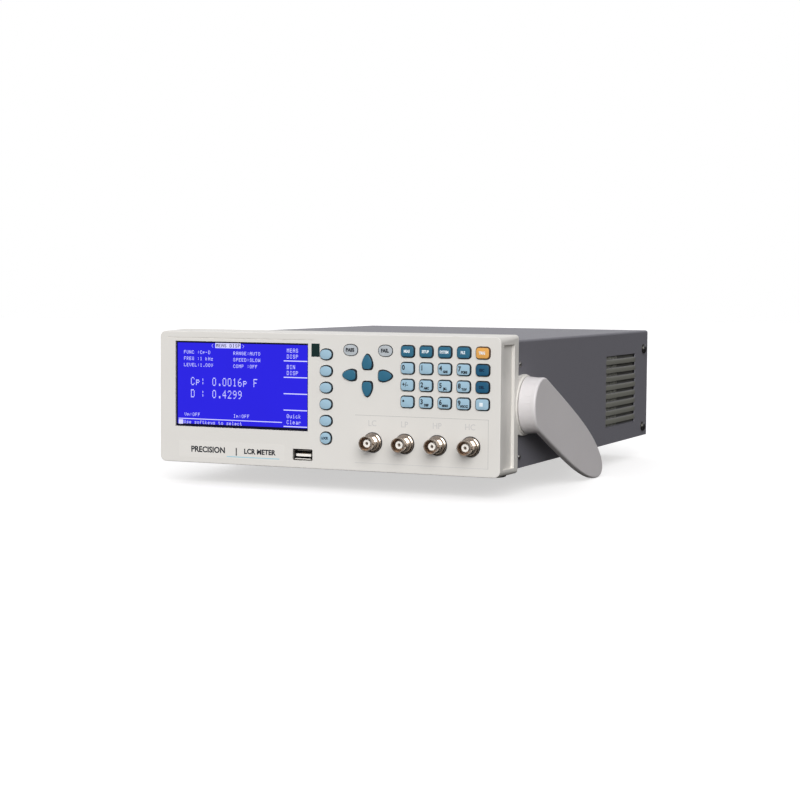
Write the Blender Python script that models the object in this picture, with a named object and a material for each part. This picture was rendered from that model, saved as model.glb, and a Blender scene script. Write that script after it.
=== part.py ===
"""Bench LCR meter: bezel with display and keys, sheet-metal case, two swing arms, rear panel.

Sizes are in millimetres in the meter's own layout frame: X from the middle plane, Y back from
the bezel's front face, Z up from the bezel's lower edge. place() turns a layout point into
world metres, with the origin under the middle of the meter on the surface it stands on.
"""
import math

import bmesh
import bpy

MM = 0.001

# Overall envelope
BEZEL_WIDTH = 275.0
BEZEL_HEIGHT = 99.0
BEZEL_DEPTH = 34.5
CASE_WIDTH = 269.4
CASE_BOTTOM = 2.7
CASE_TOP = 95.1
CASE_REAR = 378.0
FLOOR_GAP = 16.5
SOCKET_REACH = 13.0
TERMINAL_REACH = 12.5

# Shared thicknesses and gaps
GAP = 0.3
PANEL_WALL = 3.0
SHEET = 1.2
PLATE = 1.5
FOLD_RADIUS = 2.0

# Bezel moulding
BEZEL_CORNER = 2.8
FACE_WIDTH = 273.8
FACE_LOW = 0.0
FACE_HIGH = 98.1
FACE_CORNER = 4.6
FACE_EDGE = 0.6
REBATE_DEPTH = 2.7
CAVITY_HALF_WIDTH = 131.7
CAVITY_LOW = 3.5
CAVITY_HIGH = 94.5
RECESS_FRONT = 5.8
RECESS_REAR = 26.6
RECESS_DEPTH = 2.4
RECESS_LOW = 4.5
RECESS_HIGH = 92.4

# Swing arms, on one axis across the meter
HINGE_Y = 50.7
HINGE_Z = 48.1
ARM_DROOP = 22.5
ARM_REACH = 155.0
ARM_HALF_WIDTH = 20.2
ARM_INNER_X = 147.0
ARM_OUTER_X = 151.5
HUB_SEAM_X = 138.7
HUB_SEAM_RADIUS = 20.7
HUB_TOP_RADIUS = 19.9
EAR_OUTER_X = 138.4
EAR_RADIUS = 22.2
EAR_PAD_RADIUS = 21.8
SPIGOT_RADIUS = 7.0
SPIGOT_END_X = 131.5
PIVOT_SCREW_RADIUS = 2.6
PIVOT_WASHER_RADIUS = 12.0

# Display
WINDOW_LEFT = -124.2
WINDOW_RIGHT = -12.8
WINDOW_LOW = 26.6
WINDOW_HIGH = 90.8
WINDOW_RECESS = 0.8

# Keys
KEY_TRAVEL = 1.2
KEY_PROUD = 2.0
KEY_BACK = 5.2
KEY_EDGE = 0.5
KEY_FLANGE = 1.0
KEY_SLIT = 0.5
SOFT_KEY_X = 2.1
SOFT_KEY_TOP_Z = 83.2
SOFT_KEY_PITCH = 12.05
SOFT_KEY_SIZE = (10.0, 8.0)
EXTRA_KEY_Z = 22.4
EXTRA_KEY_SIZE = (9.2, 9.0)
ARROW_CENTRE = (34.9, 68.8)
ARROW_OFFSET_X = 14.2
ARROW_OFFSET_Z = 9.8
ARROW_LENGTH = 11.3
ARROW_WIDTH = 8.6
PAD_FIRST_X = 66.4
PAD_TOP_Z = 86.8
PAD_PITCH_X = 14.27
PAD_PITCH_Z = 11.98
PAD_KEY_SIZE = (10.4, 8.4)
PAD_KEY_CORNER = 2.4

# Lamps and sockets on the front
LAMP_SIZE = (11.2, 8.2)
LAMP_Z = 86.8
PASS_LAMP_X = 21.5
FAIL_LAMP_X = 48.9
SOCKET_FIRST_X = 39.4
SOCKET_PITCH = 25.1
SOCKET_Z = 20.8
SOCKET_HOLE_RADIUS = 6.3
SOCKET_BARREL = 5.4
SOCKET_FLANGE = 7.4
SOCKET_NUT = 8.2
SOCKET_THREAD = 5.9
SOCKET_INSULATOR = 2.8
SOCKET_LUG_RADIUS = 1.1
SOCKET_LUG_PROUD = 0.9
USB_CENTRE = (-17.0, 9.4)
USB_HOLE = (16.0, 7.6)
USB_SHELL = (14.8, 6.8)
USB_MOUTH = (12.6, 5.2)
USB_FRONT = 0.6
USB_BACK = 15.0
USB_TONGUE = (11.0, 1.9)
USB_TONGUE_Z = -0.6

# Ventilation slots in both sides
SLOT_COUNT = 9
SLOT_FRONT = 255.0
SLOT_REAR = 340.0
SLOT_TOP_Z = 74.4
SLOT_PITCH = 7.05
SLOT_HEIGHT = 2.8

# Sheet-metal tray
TRAY_WALL = 13.0
TRAY_NOTCH = 10.0

# Side screws
SIDE_SCREW_Y = 364.0
SIDE_SCREW_LOW = 10.9
SIDE_SCREW_HIGH = 79.2
SCREW_RADIUS = 2.0
SCREW_HEAD_RADIUS = 4.0
SCREW_HEAD_HEIGHT = 2.3
BAR_THICKNESS = 2.5

# Feet
FOOT_RADIUS = 12.0
FRONT_FEET = (75.0, 150.0)
REAR_FEET = (90.0, 320.0)

# Rear panel and what it carries
REAR_FACE = 376.5
POWER_CENTRE = (-92.0, 38.0)
POWER_FLANGE = (58.0, 32.0)
POWER_BODY = (54.0, 28.0)
INLET_CENTRE_X = -81.5
INLET_CAVITY = (24.5, 16.5)
INLET_DEPTH = 16.0
ROCKER_CENTRE_X = -108.5
ROCKER_WELL = (12.4, 23.0)
ROCKER_WELL_DEPTH = 11.0
ROCKER_AXIS_Y = 376.2
ROCKER_TILT = 8.0
SERIAL_CENTRE = (62.0, 60.0)
SERIAL_FLANGE = (31.0, 12.6)
SERIAL_BODY = (20.0, 11.0)
SERIAL_SHELL = (17.0, 8.4)
TERMINAL_CENTRE = (-42.0, 24.0)
FLANGE_THICKNESS = 2.0
BLADES = ((-7.0, -2.0), (0.0, 3.0), (7.0, -2.0))

# Inside
BOARD_THICKNESS = 1.6
BOARD_LOW = 10.0
BOARD_HALF_WIDTH = 125.0
BOARD_FRONT = 110.0
BOARD_REAR = 270.0
KEY_BOARD_LEFT = -5.0
KEY_BOARD_STEP_X = 12.0
KEY_BOARD_LOW = 12.0
KEY_BOARD_STEP_Z = 40.0
KEY_BOARD_RIGHT = 130.0
KEY_BOARD_TOP = 93.5
TRANSFORMER_CENTRE = (-76.0, 302.0)
CORE_SIZE = (60.0, 20.0, 50.0)
COIL_SIZE = (40.0, 44.0, 42.0)

# Segments of round outlines
ROUND = 16
SMALL_ROUND = 10
HUB_ROUND = 28
CORNER_STEPS = 2

CASE_HALF = CASE_WIDTH / 2
BEZEL_HALF = BEZEL_WIDTH / 2
DEEPEST_Y = REAR_FACE + TERMINAL_REACH + GAP
MIDDLE_Y = (DEEPEST_Y - SOCKET_REACH) / 2


def place(x, y, z):
    """World position in metres of a point of the layout frame."""
    return (x * MM, (y - MIDDLE_Y) * MM, (z + FLOOR_GAP) * MM)


# ---------------------------------------------------------------- materials

def srgb(red, green, blue):
    """Linear colour of an 8-bit display colour."""
    return tuple(((c / 255 + 0.055) / 1.055) ** 2.4 for c in (red, green, blue)) + (1.0,)


def material(name, colour, roughness, metallic=0.0):
    made = bpy.data.materials.get(name)
    if made:
        return made
    made = bpy.data.materials.new(name)
    made.use_nodes = True
    shader = made.node_tree.nodes["Principled BSDF"]
    shader.inputs["Base Color"].default_value = colour
    shader.inputs["Roughness"].default_value = roughness
    shader.inputs["Metallic"].default_value = metallic
    return made


BEZEL_PLASTIC = ("bezel_plastic", srgb(222, 220, 215), 0.5)
ARM_PLASTIC = ("arm_plastic", srgb(214, 212, 210), 0.5)
CASE_PAINT = ("case_paint", srgb(96, 96, 103), 0.55)
LIGHT_KEY = ("light_key", srgb(169, 203, 221), 0.5)
TEAL_KEY = ("teal_key", srgb(45, 120, 150), 0.45)
BLUE_KEY = ("blue_key", srgb(31, 96, 136), 0.45)
ORANGE_KEY = ("orange_key", srgb(240, 176, 96), 0.45)
SCREEN_GLASS = ("screen_glass", srgb(45, 32, 235), 0.15)
LAMP_LENS = ("lamp_lens", srgb(178, 178, 180), 0.35)
NICKEL = ("nickel", srgb(190, 180, 168), 0.25, 1.0)
STEEL = ("steel", srgb(150, 150, 152), 0.35, 1.0)
BLACK_PLASTIC = ("black_plastic", srgb(28, 28, 30), 0.5)
RUBBER = ("rubber", srgb(30, 30, 32), 0.8)
BOARD = ("board", srgb(20, 90, 55), 0.6)
CORE = ("core", srgb(92, 80, 62), 0.6)


# ---------------------------------------------------------------- outlines (pairs u, v)

def circle(radius, count=ROUND):
    return [(radius * math.cos(2 * math.pi * i / count), radius * math.sin(2 * math.pi * i / count))
            for i in range(count)]


def oval(width, height, count=16, power=2.3):
    """Superellipse: a slightly squared oval."""
    points = []
    for i in range(count):
        angle = 2 * math.pi * (i + 0.5) / count
        c, s = math.cos(angle), math.sin(angle)
        points.append((math.copysign(abs(c) ** (2 / power), c) * width / 2,
                       math.copysign(abs(s) ** (2 / power), s) * height / 2))
    return points


def rounded(width, height, radius, steps=CORNER_STEPS):
    """Rectangle with round corners, steps segments to each corner."""
    points = []
    for corner, (sx, sy) in enumerate(((1, 1), (-1, 1), (-1, -1), (1, -1))):
        for i in range(steps + 1):
            angle = math.radians(90 * corner + 90 * i / steps)
            points.append((sx * (width / 2 - radius) + radius * math.cos(angle),
                           sy * (height / 2 - radius) + radius * math.sin(angle)))
    return points


def rectangle(low_u, low_v, high_u, high_v):
    return [(low_u, low_v), (high_u, low_v), (high_u, high_v), (low_u, high_v)]


def bullet(length, width, turn, grow=0.0, steps=4):
    """Arrow key: flat base with round corners, sides that close to a round nose, nose at +u."""
    half = width / 2 + grow
    base = -length / 2 - grow
    nose = length / 2 + grow
    corner = 1.6
    shoulder = base + 0.3 * length
    side = [(base, 0.55 * half), (base + 0.3 * corner, 0.84 * half), (base + corner, 0.97 * half)]
    for i in range(steps):
        run = (i / steps) ** 0.7
        side.append((shoulder + run * (nose - shoulder), half * (1 - run ** 1.8) ** 0.75))
    loop = side + [(nose, 0.0)] + [(u, -v) for u, v in reversed(side)]
    c, s = math.cos(math.radians(turn)), math.sin(math.radians(turn))
    return [(c * u - s * v, s * u + c * v) for u, v in loop]


def arm_outline(inset=0.0, round_steps=10, side_steps=9):
    """Swing arm: round about the hinge, then tapering as a long blunt tongue that droops aft."""
    half = ARM_HALF_WIDTH - inset
    reach = ARM_REACH - inset
    loop = []
    for i in range(round_steps + 1):
        angle = math.radians(90 + 180 * i / round_steps)
        loop.append((half * math.cos(angle), half * math.sin(angle)))
    lower = []
    for i in range(1, side_steps):
        run = math.sin(math.pi / 2 * i / side_steps) ** 0.8
        lower.append((reach * run, -half * math.sqrt(1 - run ** 4)))
    loop += lower + [(reach, 0.0)] + [(u, -v) for u, v in reversed(lower)]
    c, s = math.cos(math.radians(-ARM_DROOP)), math.sin(math.radians(-ARM_DROOP))
    return [(c * u - s * v, s * u + c * v) for u, v in loop]


def ear_outline(radius, count=HUB_ROUND):
    """Hinge ear: round behind the axis, squarer in front where it runs into the bezel."""
    points = []
    for i in range(count):
        angle = 2 * math.pi * i / count
        c, s = math.cos(angle), math.sin(angle)
        power = 2.0 if c > 0 else 2.0 + 3.0 * abs(c)
        points.append((math.copysign(abs(c) ** (2 / power), c) * radius,
                       math.copysign(abs(s) ** (2 / power), s) * radius))
    return points


# ---------------------------------------------------------------- solids

def across(outline, x, centre=(0.0, 0.0)):
    """Ring of points in the plane at x, outline along Y and Z."""
    return [(x, u + centre[0], v + centre[1]) for u, v in outline]


def facing(outline, y, centre=(0.0, 0.0)):
    """Ring of points in the plane at y, outline along X and Z."""
    return [(u + centre[0], y, v + centre[1]) for u, v in outline]


def level(outline, z, centre=(0.0, 0.0)):
    """Ring of points in the plane at z, outline along X and Y."""
    return [(u + centre[0], v + centre[1], z) for u, v in outline]


def loft(bm, rings):
    """Closed body through rings of equal count, capped at both ends."""
    made = [[bm.verts.new([c * MM for c in point]) for point in ring] for ring in rings]
    count = len(made[0])
    faces = [bm.faces.new(made[0]), bm.faces.new(reversed(made[-1]))]
    for low, high in zip(made, made[1:]):
        for i in range(count):
            j = (i + 1) % count
            faces.append(bm.faces.new((low[i], low[j], high[j], high[i])))
    bmesh.ops.recalc_face_normals(bm, faces=faces)


def node(name, bodies, surface, at=(0.0, 0.0, 0.0), tilt_x=0.0, smooth=True):
    """One object from a list of ring lists, each a closed body, placed at a layout point."""
    bm = bmesh.new()
    for rings in bodies:
        loft(bm, rings)
    mesh = bpy.data.meshes.new(name)
    bm.to_mesh(mesh)
    bm.free()
    if smooth:
        mesh.shade_smooth()
        mesh.set_sharp_from_angle(angle=math.radians(35))
    made = bpy.data.objects.new(name, mesh)
    bpy.context.scene.collection.objects.link(made)
    made.location = place(*at)
    made.rotation_euler.x = math.radians(tilt_x)
    mesh.materials.append(material(*surface))
    return made


def combine(target, name, bodies, operation, at=(0.0, 0.0, 0.0)):
    """Boolean of target with a hidden helper object built from ring lists."""
    helper = node(name, bodies, STEEL, at, smooth=False)
    helper.hide_render = True
    helper.display_type = "WIRE"
    step = target.modifiers.new(name, "BOOLEAN")
    step.operation = operation
    step.object = helper
    step.solver = "EXACT"
    return helper


def box_rings(low, high):
    return [level(rectangle(low[0], low[1], high[0], high[1]), z) for z in (low[2], high[2])]


def turned(profile, count=ROUND, centre=(0.0, 0.0)):
    """Rings about the Y direction from (radius, y) pairs."""
    return [facing(circle(radius, count), y, centre) for radius, y in profile]


# ---------------------------------------------------------------- key shapes

def oval_key(size):
    return lambda grow: oval(size[0] + 2 * grow, size[1] + 2 * grow)


def pad_key(grow):
    return rounded(PAD_KEY_SIZE[0] + 2 * grow, PAD_KEY_SIZE[1] + 2 * grow, PAD_KEY_CORNER + grow)


def arrow_key(turn):
    return lambda grow: bullet(ARROW_LENGTH, ARROW_WIDTH, turn, grow)


def key_list():
    """Every key as name, outline maker, surface and centre (x, z)."""
    keys = []
    for i in range(5):
        z = SOFT_KEY_TOP_Z - i * SOFT_KEY_PITCH
        keys.append((f"soft_key_{i + 1}", oval_key(SOFT_KEY_SIZE), LIGHT_KEY, (SOFT_KEY_X, z)))
    keys.append(("lock_key", oval_key(EXTRA_KEY_SIZE), LIGHT_KEY, (SOFT_KEY_X, EXTRA_KEY_Z)))
    arrows = (("right", 0, 1, 0), ("up", 90, 0, 1), ("left", 180, -1, 0), ("down", 270, 0, -1))
    for name, turn, sx, sz in arrows:
        centre = (ARROW_CENTRE[0] + sx * ARROW_OFFSET_X, ARROW_CENTRE[1] + sz * ARROW_OFFSET_Z)
        keys.append((f"arrow_{name}", arrow_key(turn), TEAL_KEY, centre))
    rows = (("meas", "setup", "system", "file", "trigger"),
            ("0", "1", "4", "7", "escape"),
            ("sign", "2", "5", "8", "backspace"),
            ("point", "3", "6", "9", "enter"))
    for row, names in enumerate(rows):
        for column, name in enumerate(names):
            surface = LIGHT_KEY
            if row == 0:
                surface = TEAL_KEY
            elif name in ("escape", "backspace"):
                surface = BLUE_KEY
            if name == "trigger":
                surface = ORANGE_KEY
            centre = (PAD_FIRST_X + column * PAD_PITCH_X, PAD_TOP_Z - row * PAD_PITCH_Z)
            keys.append((f"key_{name}", pad_key, surface, centre))
    return keys


KEYS = key_list()
SOCKETS = [(SOCKET_FIRST_X + i * SOCKET_PITCH, SOCKET_Z) for i in range(4)]


# ---------------------------------------------------------------- front bezel

def hole(outline, centre):
    """Cutter right through the panel wall."""
    return [facing(outline, y, centre) for y in (-2.0, PANEL_WALL + 2.0)]


def front_bezel():
    face_height = FACE_HIGH - FACE_LOW
    face_middle, rear_middle = (0.0, (FACE_LOW + FACE_HIGH) / 2), (0.0, BEZEL_HEIGHT / 2)
    rings = []
    for i in range(3):
        angle = math.radians(90 * i / 2)
        inset = FACE_EDGE * (1 - math.sin(angle))
        outline = rounded(FACE_WIDTH - 2 * inset, face_height - 2 * inset, FACE_CORNER - inset, 4)
        rings.append(facing(outline, FACE_EDGE * (1 - math.cos(angle)), face_middle))
    full = rounded(BEZEL_WIDTH, BEZEL_HEIGHT, BEZEL_CORNER, 4)
    rear_edge = rounded(BEZEL_WIDTH - 1.0, BEZEL_HEIGHT - 1.0, BEZEL_CORNER - 0.5, 4)
    rings.append(facing(full, BEZEL_DEPTH - 0.5, rear_middle))
    rings.append(facing(rear_edge, BEZEL_DEPTH, rear_middle))
    bezel = node("front_bezel", [rings], BEZEL_PLASTIC)

    ears = []
    for side in (-1, 1):
        hinge = (HINGE_Y, HINGE_Z)
        ears.append([across(ear_outline(EAR_RADIUS), side * 133.0, hinge),
                     across(ear_outline(EAR_RADIUS), side * (BEZEL_HALF - 0.2), hinge),
                     across(circle(EAR_PAD_RADIUS, HUB_ROUND), side * (BEZEL_HALF - 0.2), hinge),
                     across(circle(EAR_PAD_RADIUS, HUB_ROUND), side * (EAR_OUTER_X - 0.4), hinge),
                     across(circle(EAR_PAD_RADIUS - 0.4, HUB_ROUND), side * EAR_OUTER_X, hinge)])
    combine(bezel, "guide_ears", ears, "UNION")

    inside = rectangle(-CAVITY_HALF_WIDTH, CAVITY_LOW, CAVITY_HALF_WIDTH, CAVITY_HIGH)
    rebate = rectangle(-CASE_HALF - GAP, CASE_BOTTOM - GAP, CASE_HALF + GAP, CASE_TOP + GAP)
    step_y = BEZEL_DEPTH - REBATE_DEPTH
    room = [facing(inside, PANEL_WALL), facing(inside, step_y),
            facing(rebate, step_y), facing(rebate, HINGE_Y + 40.0)]
    combine(bezel, "cutter_room", [room], "DIFFERENCE")

    cuts = [hole(outline(KEY_SLIT), centre) for _, outline, _, centre in KEYS]
    cuts += [hole(oval(LAMP_SIZE[0] + 2 * GAP, LAMP_SIZE[1] + 2 * GAP), (x, LAMP_Z))
             for x in (PASS_LAMP_X, FAIL_LAMP_X)]
    cuts += [hole(circle(SOCKET_HOLE_RADIUS), centre) for centre in SOCKETS]
    cuts.append(hole(rounded(*USB_HOLE, 0.8, 1), USB_CENTRE))
    cuts.append(hole(rectangle(WINDOW_LEFT, WINDOW_LOW, WINDOW_RIGHT, WINDOW_HIGH), (0.0, 0.0)))
    for side in (-1, 1):
        outer, floor = side * (BEZEL_HALF + 5.0), side * (BEZEL_HALF - RECESS_DEPTH)
        recess = rectangle(RECESS_FRONT, RECESS_LOW, RECESS_REAR, RECESS_HIGH)
        cuts.append([across(recess, floor), across(recess, outer)])
        bore = circle(SPIGOT_RADIUS + GAP)
        cuts.append([across(bore, side * 130.0, (HINGE_Y, HINGE_Z)),
                     across(bore, side * 141.0, (HINGE_Y, HINGE_Z))])
    combine(bezel, "cutter_openings", cuts, "DIFFERENCE")


# ---------------------------------------------------------------- display

def display():
    width, height = WINDOW_RIGHT - WINDOW_LEFT, WINDOW_HIGH - WINDOW_LOW
    centre = ((WINDOW_LEFT + WINDOW_RIGHT) / 2, (WINDOW_LOW + WINDOW_HIGH) / 2)
    land = rounded(width - 2 * GAP, height - 2 * GAP, 0.4, 1)
    lip = rounded(width + 5.0, height + 5.0, 0.4, 1)
    lip_front = PANEL_WALL + GAP
    node("display_window", [[facing(land, WINDOW_RECESS), facing(land, lip_front),
                             facing(lip, lip_front), facing(lip, lip_front + 1.2)]],
         SCREEN_GLASS, (centre[0], 0.0, centre[1]))
    frame_back = lip_front + 1.2 + GAP
    body = rounded(width + 6.0, height + 6.0, 1.5, 1)
    node("display_module", [[facing(body, frame_back), facing(body, frame_back + 9.0)]],
         STEEL, (centre[0], 0.0, centre[1]))


# ---------------------------------------------------------------- keys and lamps

def panel_piece(name, outline, surface, centre, proud, back):
    """Cap that stands proud of the panel, with a lip behind the wall that keeps it in."""
    lip_front = PANEL_WALL + GAP
    rings = [facing(outline(KEY_FLANGE), back),
             facing(outline(KEY_FLANGE), lip_front),
             facing(outline(0.0), lip_front),
             facing(outline(0.0), KEY_EDGE - proud),
             facing(outline(-KEY_EDGE), -proud)]
    node(name, [rings], surface, (centre[0], 0.0, centre[1]))


def keys_and_lamps():
    for name, outline, surface, centre in KEYS:
        panel_piece(name, outline, surface, centre, KEY_PROUD, KEY_BACK)
    for name, x in (("pass_lamp", PASS_LAMP_X), ("fail_lamp", FAIL_LAMP_X)):
        panel_piece(name, oval_key(LAMP_SIZE), LAMP_LENS, (x, LAMP_Z), KEY_EDGE, KEY_BACK)


# ---------------------------------------------------------------- front sockets

def test_sockets():
    """BNC test terminals: flange and barrel in front, thread, nut and solder end behind."""
    flange_front, nut_front, nut_back = -1.7, PANEL_WALL + GAP, 6.2
    mouth, insulator = SOCKET_BARREL - 0.9, SOCKET_INSULATOR
    rings = turned([(3.0, 14.0), (3.0, nut_back), (SOCKET_NUT, nut_back), (SOCKET_NUT, nut_front),
                    (SOCKET_THREAD, nut_front), (SOCKET_THREAD, -GAP),
                    (SOCKET_FLANGE, -GAP), (SOCKET_FLANGE, flange_front),
                    (SOCKET_BARREL, flange_front - 0.6), (SOCKET_BARREL, -SOCKET_REACH),
                    (mouth, -SOCKET_REACH), (mouth, -4.5), (insulator, -4.5), (insulator, -11.4),
                    (0.8, -11.4), (0.8, -8.0)])
    pin = circle(SOCKET_LUG_RADIUS, 8)
    for i, (x, z) in enumerate(SOCKETS):
        socket = node(f"test_socket_{i + 1}", [rings], NICKEL, (x, 0.0, z))
        lugs = [[across(pin, side * (SOCKET_BARREL - 0.4), (-10.4, 0.0)),
                 across(pin, side * (SOCKET_BARREL + SOCKET_LUG_PROUD), (-10.4, 0.0))]
                for side in (-1, 1)]
        combine(socket, f"guide_lugs_{i + 1}", lugs, "UNION", (x, 0.0, z))


def usb_socket():
    at = (USB_CENTRE[0], 0.0, USB_CENTRE[1])
    shell, mouth = rounded(*USB_SHELL, 0.6, 1), rounded(*USB_MOUTH, 0.4, 1)
    socket = node("usb_socket", [[facing(shell, USB_BACK), facing(shell, USB_FRONT),
                                  facing(mouth, USB_FRONT), facing(mouth, USB_BACK - 4.0)]], STEEL, at)
    half, low = USB_TONGUE[0] / 2, USB_TONGUE_Z - USB_TONGUE[1] / 2
    tongue = box_rings((-half, USB_FRONT + 1.8, low), (half, USB_BACK - 3.0, low + USB_TONGUE[1]))
    combine(socket, "guide_tongue", [tongue], "UNION", at)


# ---------------------------------------------------------------- case

def cover_profile():
    """Inverted U of sheet: up one side, over the top, down the other, and back inside."""
    def half_loop(half, top, radius):
        points = [(half, CASE_BOTTOM)]
        for i in range(4):
            angle = math.radians(90 * i / 3)
            points.append((half - radius * (1 - math.cos(angle)), top - radius * (1 - math.sin(angle))))
        return points
    outer = half_loop(CASE_HALF, CASE_TOP, FOLD_RADIUS)
    inner = half_loop(CASE_HALF - SHEET, CASE_TOP - SHEET, FOLD_RADIUS - SHEET)
    loop = outer + [(-u, v) for u, v in reversed(outer)]
    return loop + [(-u, v) for u, v in inner] + [(u, v) for u, v in reversed(inner)]


def cover():
    front = BEZEL_DEPTH - REBATE_DEPTH + GAP
    shell = node("cover", [[facing(cover_profile(), front), facing(cover_profile(), CASE_REAR)]],
                 CASE_PAINT)
    cuts = []
    for side in (-1, 1):
        near, far = side * (CASE_HALF - SHEET - 2.0), side * (CASE_HALF + 2.0)
        for i in range(SLOT_COUNT):
            z = SLOT_TOP_Z - i * SLOT_PITCH
            slot = rectangle(SLOT_FRONT, z - SLOT_HEIGHT / 2, SLOT_REAR, z + SLOT_HEIGHT / 2)
            cuts.append([across(slot, near), across(slot, far)])
        for z in (SIDE_SCREW_LOW, SIDE_SCREW_HIGH):
            shaft = circle(SCREW_RADIUS + GAP, SMALL_ROUND)
            cuts.append([across(shaft, near, (SIDE_SCREW_Y, z)), across(shaft, far, (SIDE_SCREW_Y, z))])
        bore = circle(SPIGOT_RADIUS + GAP)
        cuts.append([across(bore, near, (HINGE_Y, HINGE_Z)), across(bore, far, (HINGE_Y, HINGE_Z))])
    combine(shell, "cutter_cover", cuts, "DIFFERENCE")


def base_chassis():
    half = CASE_HALF - SHEET - GAP
    front, rear = BEZEL_DEPTH - REBATE_DEPTH + GAP, REAR_FACE
    floor = CASE_BOTTOM + PLATE
    wall = floor + TRAY_WALL
    profile = [(-half, CASE_BOTTOM), (half, CASE_BOTTOM), (half, wall), (half - PLATE, wall),
               (half - PLATE, floor), (-half + PLATE, floor), (-half + PLATE, wall), (-half, wall)]
    chassis = node("base_chassis", [[facing(profile, front), facing(profile, rear)]], CASE_PAINT)
    notch = SIDE_SCREW_Y - TRAY_NOTCH
    cuts = []
    for side in (-1, 1):
        centre, reach = side * (half - PLATE / 2), PLATE / 2 + 1.0
        cuts.append(box_rings((centre - reach, notch, floor - 0.01), (centre + reach, rear + 2.0, wall + 2.0)))
    combine(chassis, "cutter_chassis", cuts, "DIFFERENCE")


def rear_panel():
    half = CASE_HALF - SHEET - GAP
    low, high = CASE_BOTTOM + PLATE + GAP, CASE_TOP - SHEET - 2 * GAP
    back, face = REAR_FACE, REAR_FACE - PLATE
    fold = SIDE_SCREW_Y - TRAY_NOTCH + 2.0
    profile = [(-half, back), (half, back), (half, fold), (half - PLATE, fold),
               (half - PLATE, face), (-half + PLATE, face), (-half + PLATE, fold), (-half, fold)]
    panel = node("rear_panel", [[level(profile, low), level(profile, high)]], CASE_PAINT)

    def window(size, centre):
        outline = rounded(size[0] + 2 * GAP, size[1] + 2 * GAP, 0.6, 1)
        return [facing(outline, face - 2.0, centre), facing(outline, back + 2.0, centre)]
    cuts = [window(POWER_BODY, POWER_CENTRE), window(SERIAL_BODY, SERIAL_CENTRE)]
    cuts.append([facing(circle(3.3, SMALL_ROUND), y, TERMINAL_CENTRE) for y in (face - 2.0, back + 2.0)])
    for side in (-1, 1):
        for z in (SIDE_SCREW_LOW, SIDE_SCREW_HIGH):
            shaft = circle(SCREW_RADIUS + GAP, SMALL_ROUND)
            cuts.append([across(shaft, side * (half - PLATE - 2.0), (SIDE_SCREW_Y, z)),
                         across(shaft, side * (half + 2.0), (SIDE_SCREW_Y, z))])
    combine(panel, "cutter_rear_panel", cuts, "DIFFERENCE")


def cover_screws():
    """On each side, two pan-head screws and the tapped bar inside that they pull against."""
    bar_outer = CASE_HALF - SHEET - GAP - PLATE - GAP
    bar_inner = bar_outer - BAR_THICKNESS
    bar = rectangle(SIDE_SCREW_Y - 5.0, SIDE_SCREW_LOW - 4.0, SIDE_SCREW_Y + 5.0, SIDE_SCREW_HIGH + 4.0)
    for side, name in ((1, "right"), (-1, "left")):
        screws = node(f"cover_screws_{name}",
                      [[across(bar, side * bar_inner), across(bar, side * bar_outer)]], STEEL)
        head = CASE_HALF + GAP
        pins = []
        for z in (SIDE_SCREW_LOW, SIDE_SCREW_HIGH):
            profile = [(SCREW_RADIUS, bar_outer - 1.5), (SCREW_RADIUS, head), (SCREW_HEAD_RADIUS, head),
                       (SCREW_HEAD_RADIUS, head + 0.6 * SCREW_HEAD_HEIGHT),
                       (0.6 * SCREW_HEAD_RADIUS, head + SCREW_HEAD_HEIGHT)]
            pins.append([across(circle(r, SMALL_ROUND), side * x, (SIDE_SCREW_Y, z)) for r, x in profile])
        combine(screws, f"guide_screws_{name}", pins, "UNION")


def feet():
    top = CASE_BOTTOM - GAP
    profile = [(FOOT_RADIUS - 0.6, top), (FOOT_RADIUS, top - 0.6), (FOOT_RADIUS - 0.8, -FLOOR_GAP + 3.0),
               (FOOT_RADIUS - 1.2, -FLOOR_GAP + 0.8), (FOOT_RADIUS - 2.2, -FLOOR_GAP)]
    rings = [level(circle(radius), z) for radius, z in profile]
    for row, (x, y) in (("front", FRONT_FEET), ("rear", REAR_FEET)):
        for side, name in ((1, "right"), (-1, "left")):
            node(f"foot_{row}_{name}", [rings], RUBBER, (side * x, y, 0.0))


# ---------------------------------------------------------------- swing arms

def swing_arms():
    for side, name in ((1, "right"), (-1, "left")):
        hub = [(PIVOT_SCREW_RADIUS + GAP, HUB_SEAM_X + 1.5), (PIVOT_SCREW_RADIUS + GAP, SPIGOT_END_X),
               (SPIGOT_RADIUS, SPIGOT_END_X), (SPIGOT_RADIUS, HUB_SEAM_X),
               (HUB_SEAM_RADIUS, HUB_SEAM_X), (HUB_TOP_RADIUS, ARM_INNER_X + 0.8)]
        hub_rings = [across(circle(r, HUB_ROUND), side * x) for r, x in hub]
        at = (0.0, HINGE_Y, HINGE_Z)
        arm = node(f"arm_{name}", [hub_rings], ARM_PLASTIC, at)
        plate = [across(arm_outline(0.6), side * ARM_INNER_X),
                 across(arm_outline(), side * (ARM_INNER_X + 0.6)),
                 across(arm_outline(), side * (ARM_OUTER_X - 0.9)),
                 across(arm_outline(0.25), side * (ARM_OUTER_X - 0.3)),
                 across(arm_outline(0.9), side * ARM_OUTER_X)]
        combine(arm, f"guide_arm_plate_{name}", [plate], "UNION", at)
        screw = [(PIVOT_SCREW_RADIUS, HUB_SEAM_X + 1.0), (PIVOT_SCREW_RADIUS, SPIGOT_END_X - GAP),
                 (PIVOT_WASHER_RADIUS, SPIGOT_END_X - GAP), (PIVOT_WASHER_RADIUS, SPIGOT_END_X - 2.3),
                 (4.5, SPIGOT_END_X - 2.3), (4.5, SPIGOT_END_X - 5.0)]
        node(f"pivot_screw_{name}", [[across(circle(r), side * x) for r, x in screw]], STEEL, at)


# ---------------------------------------------------------------- rear connectors

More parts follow.
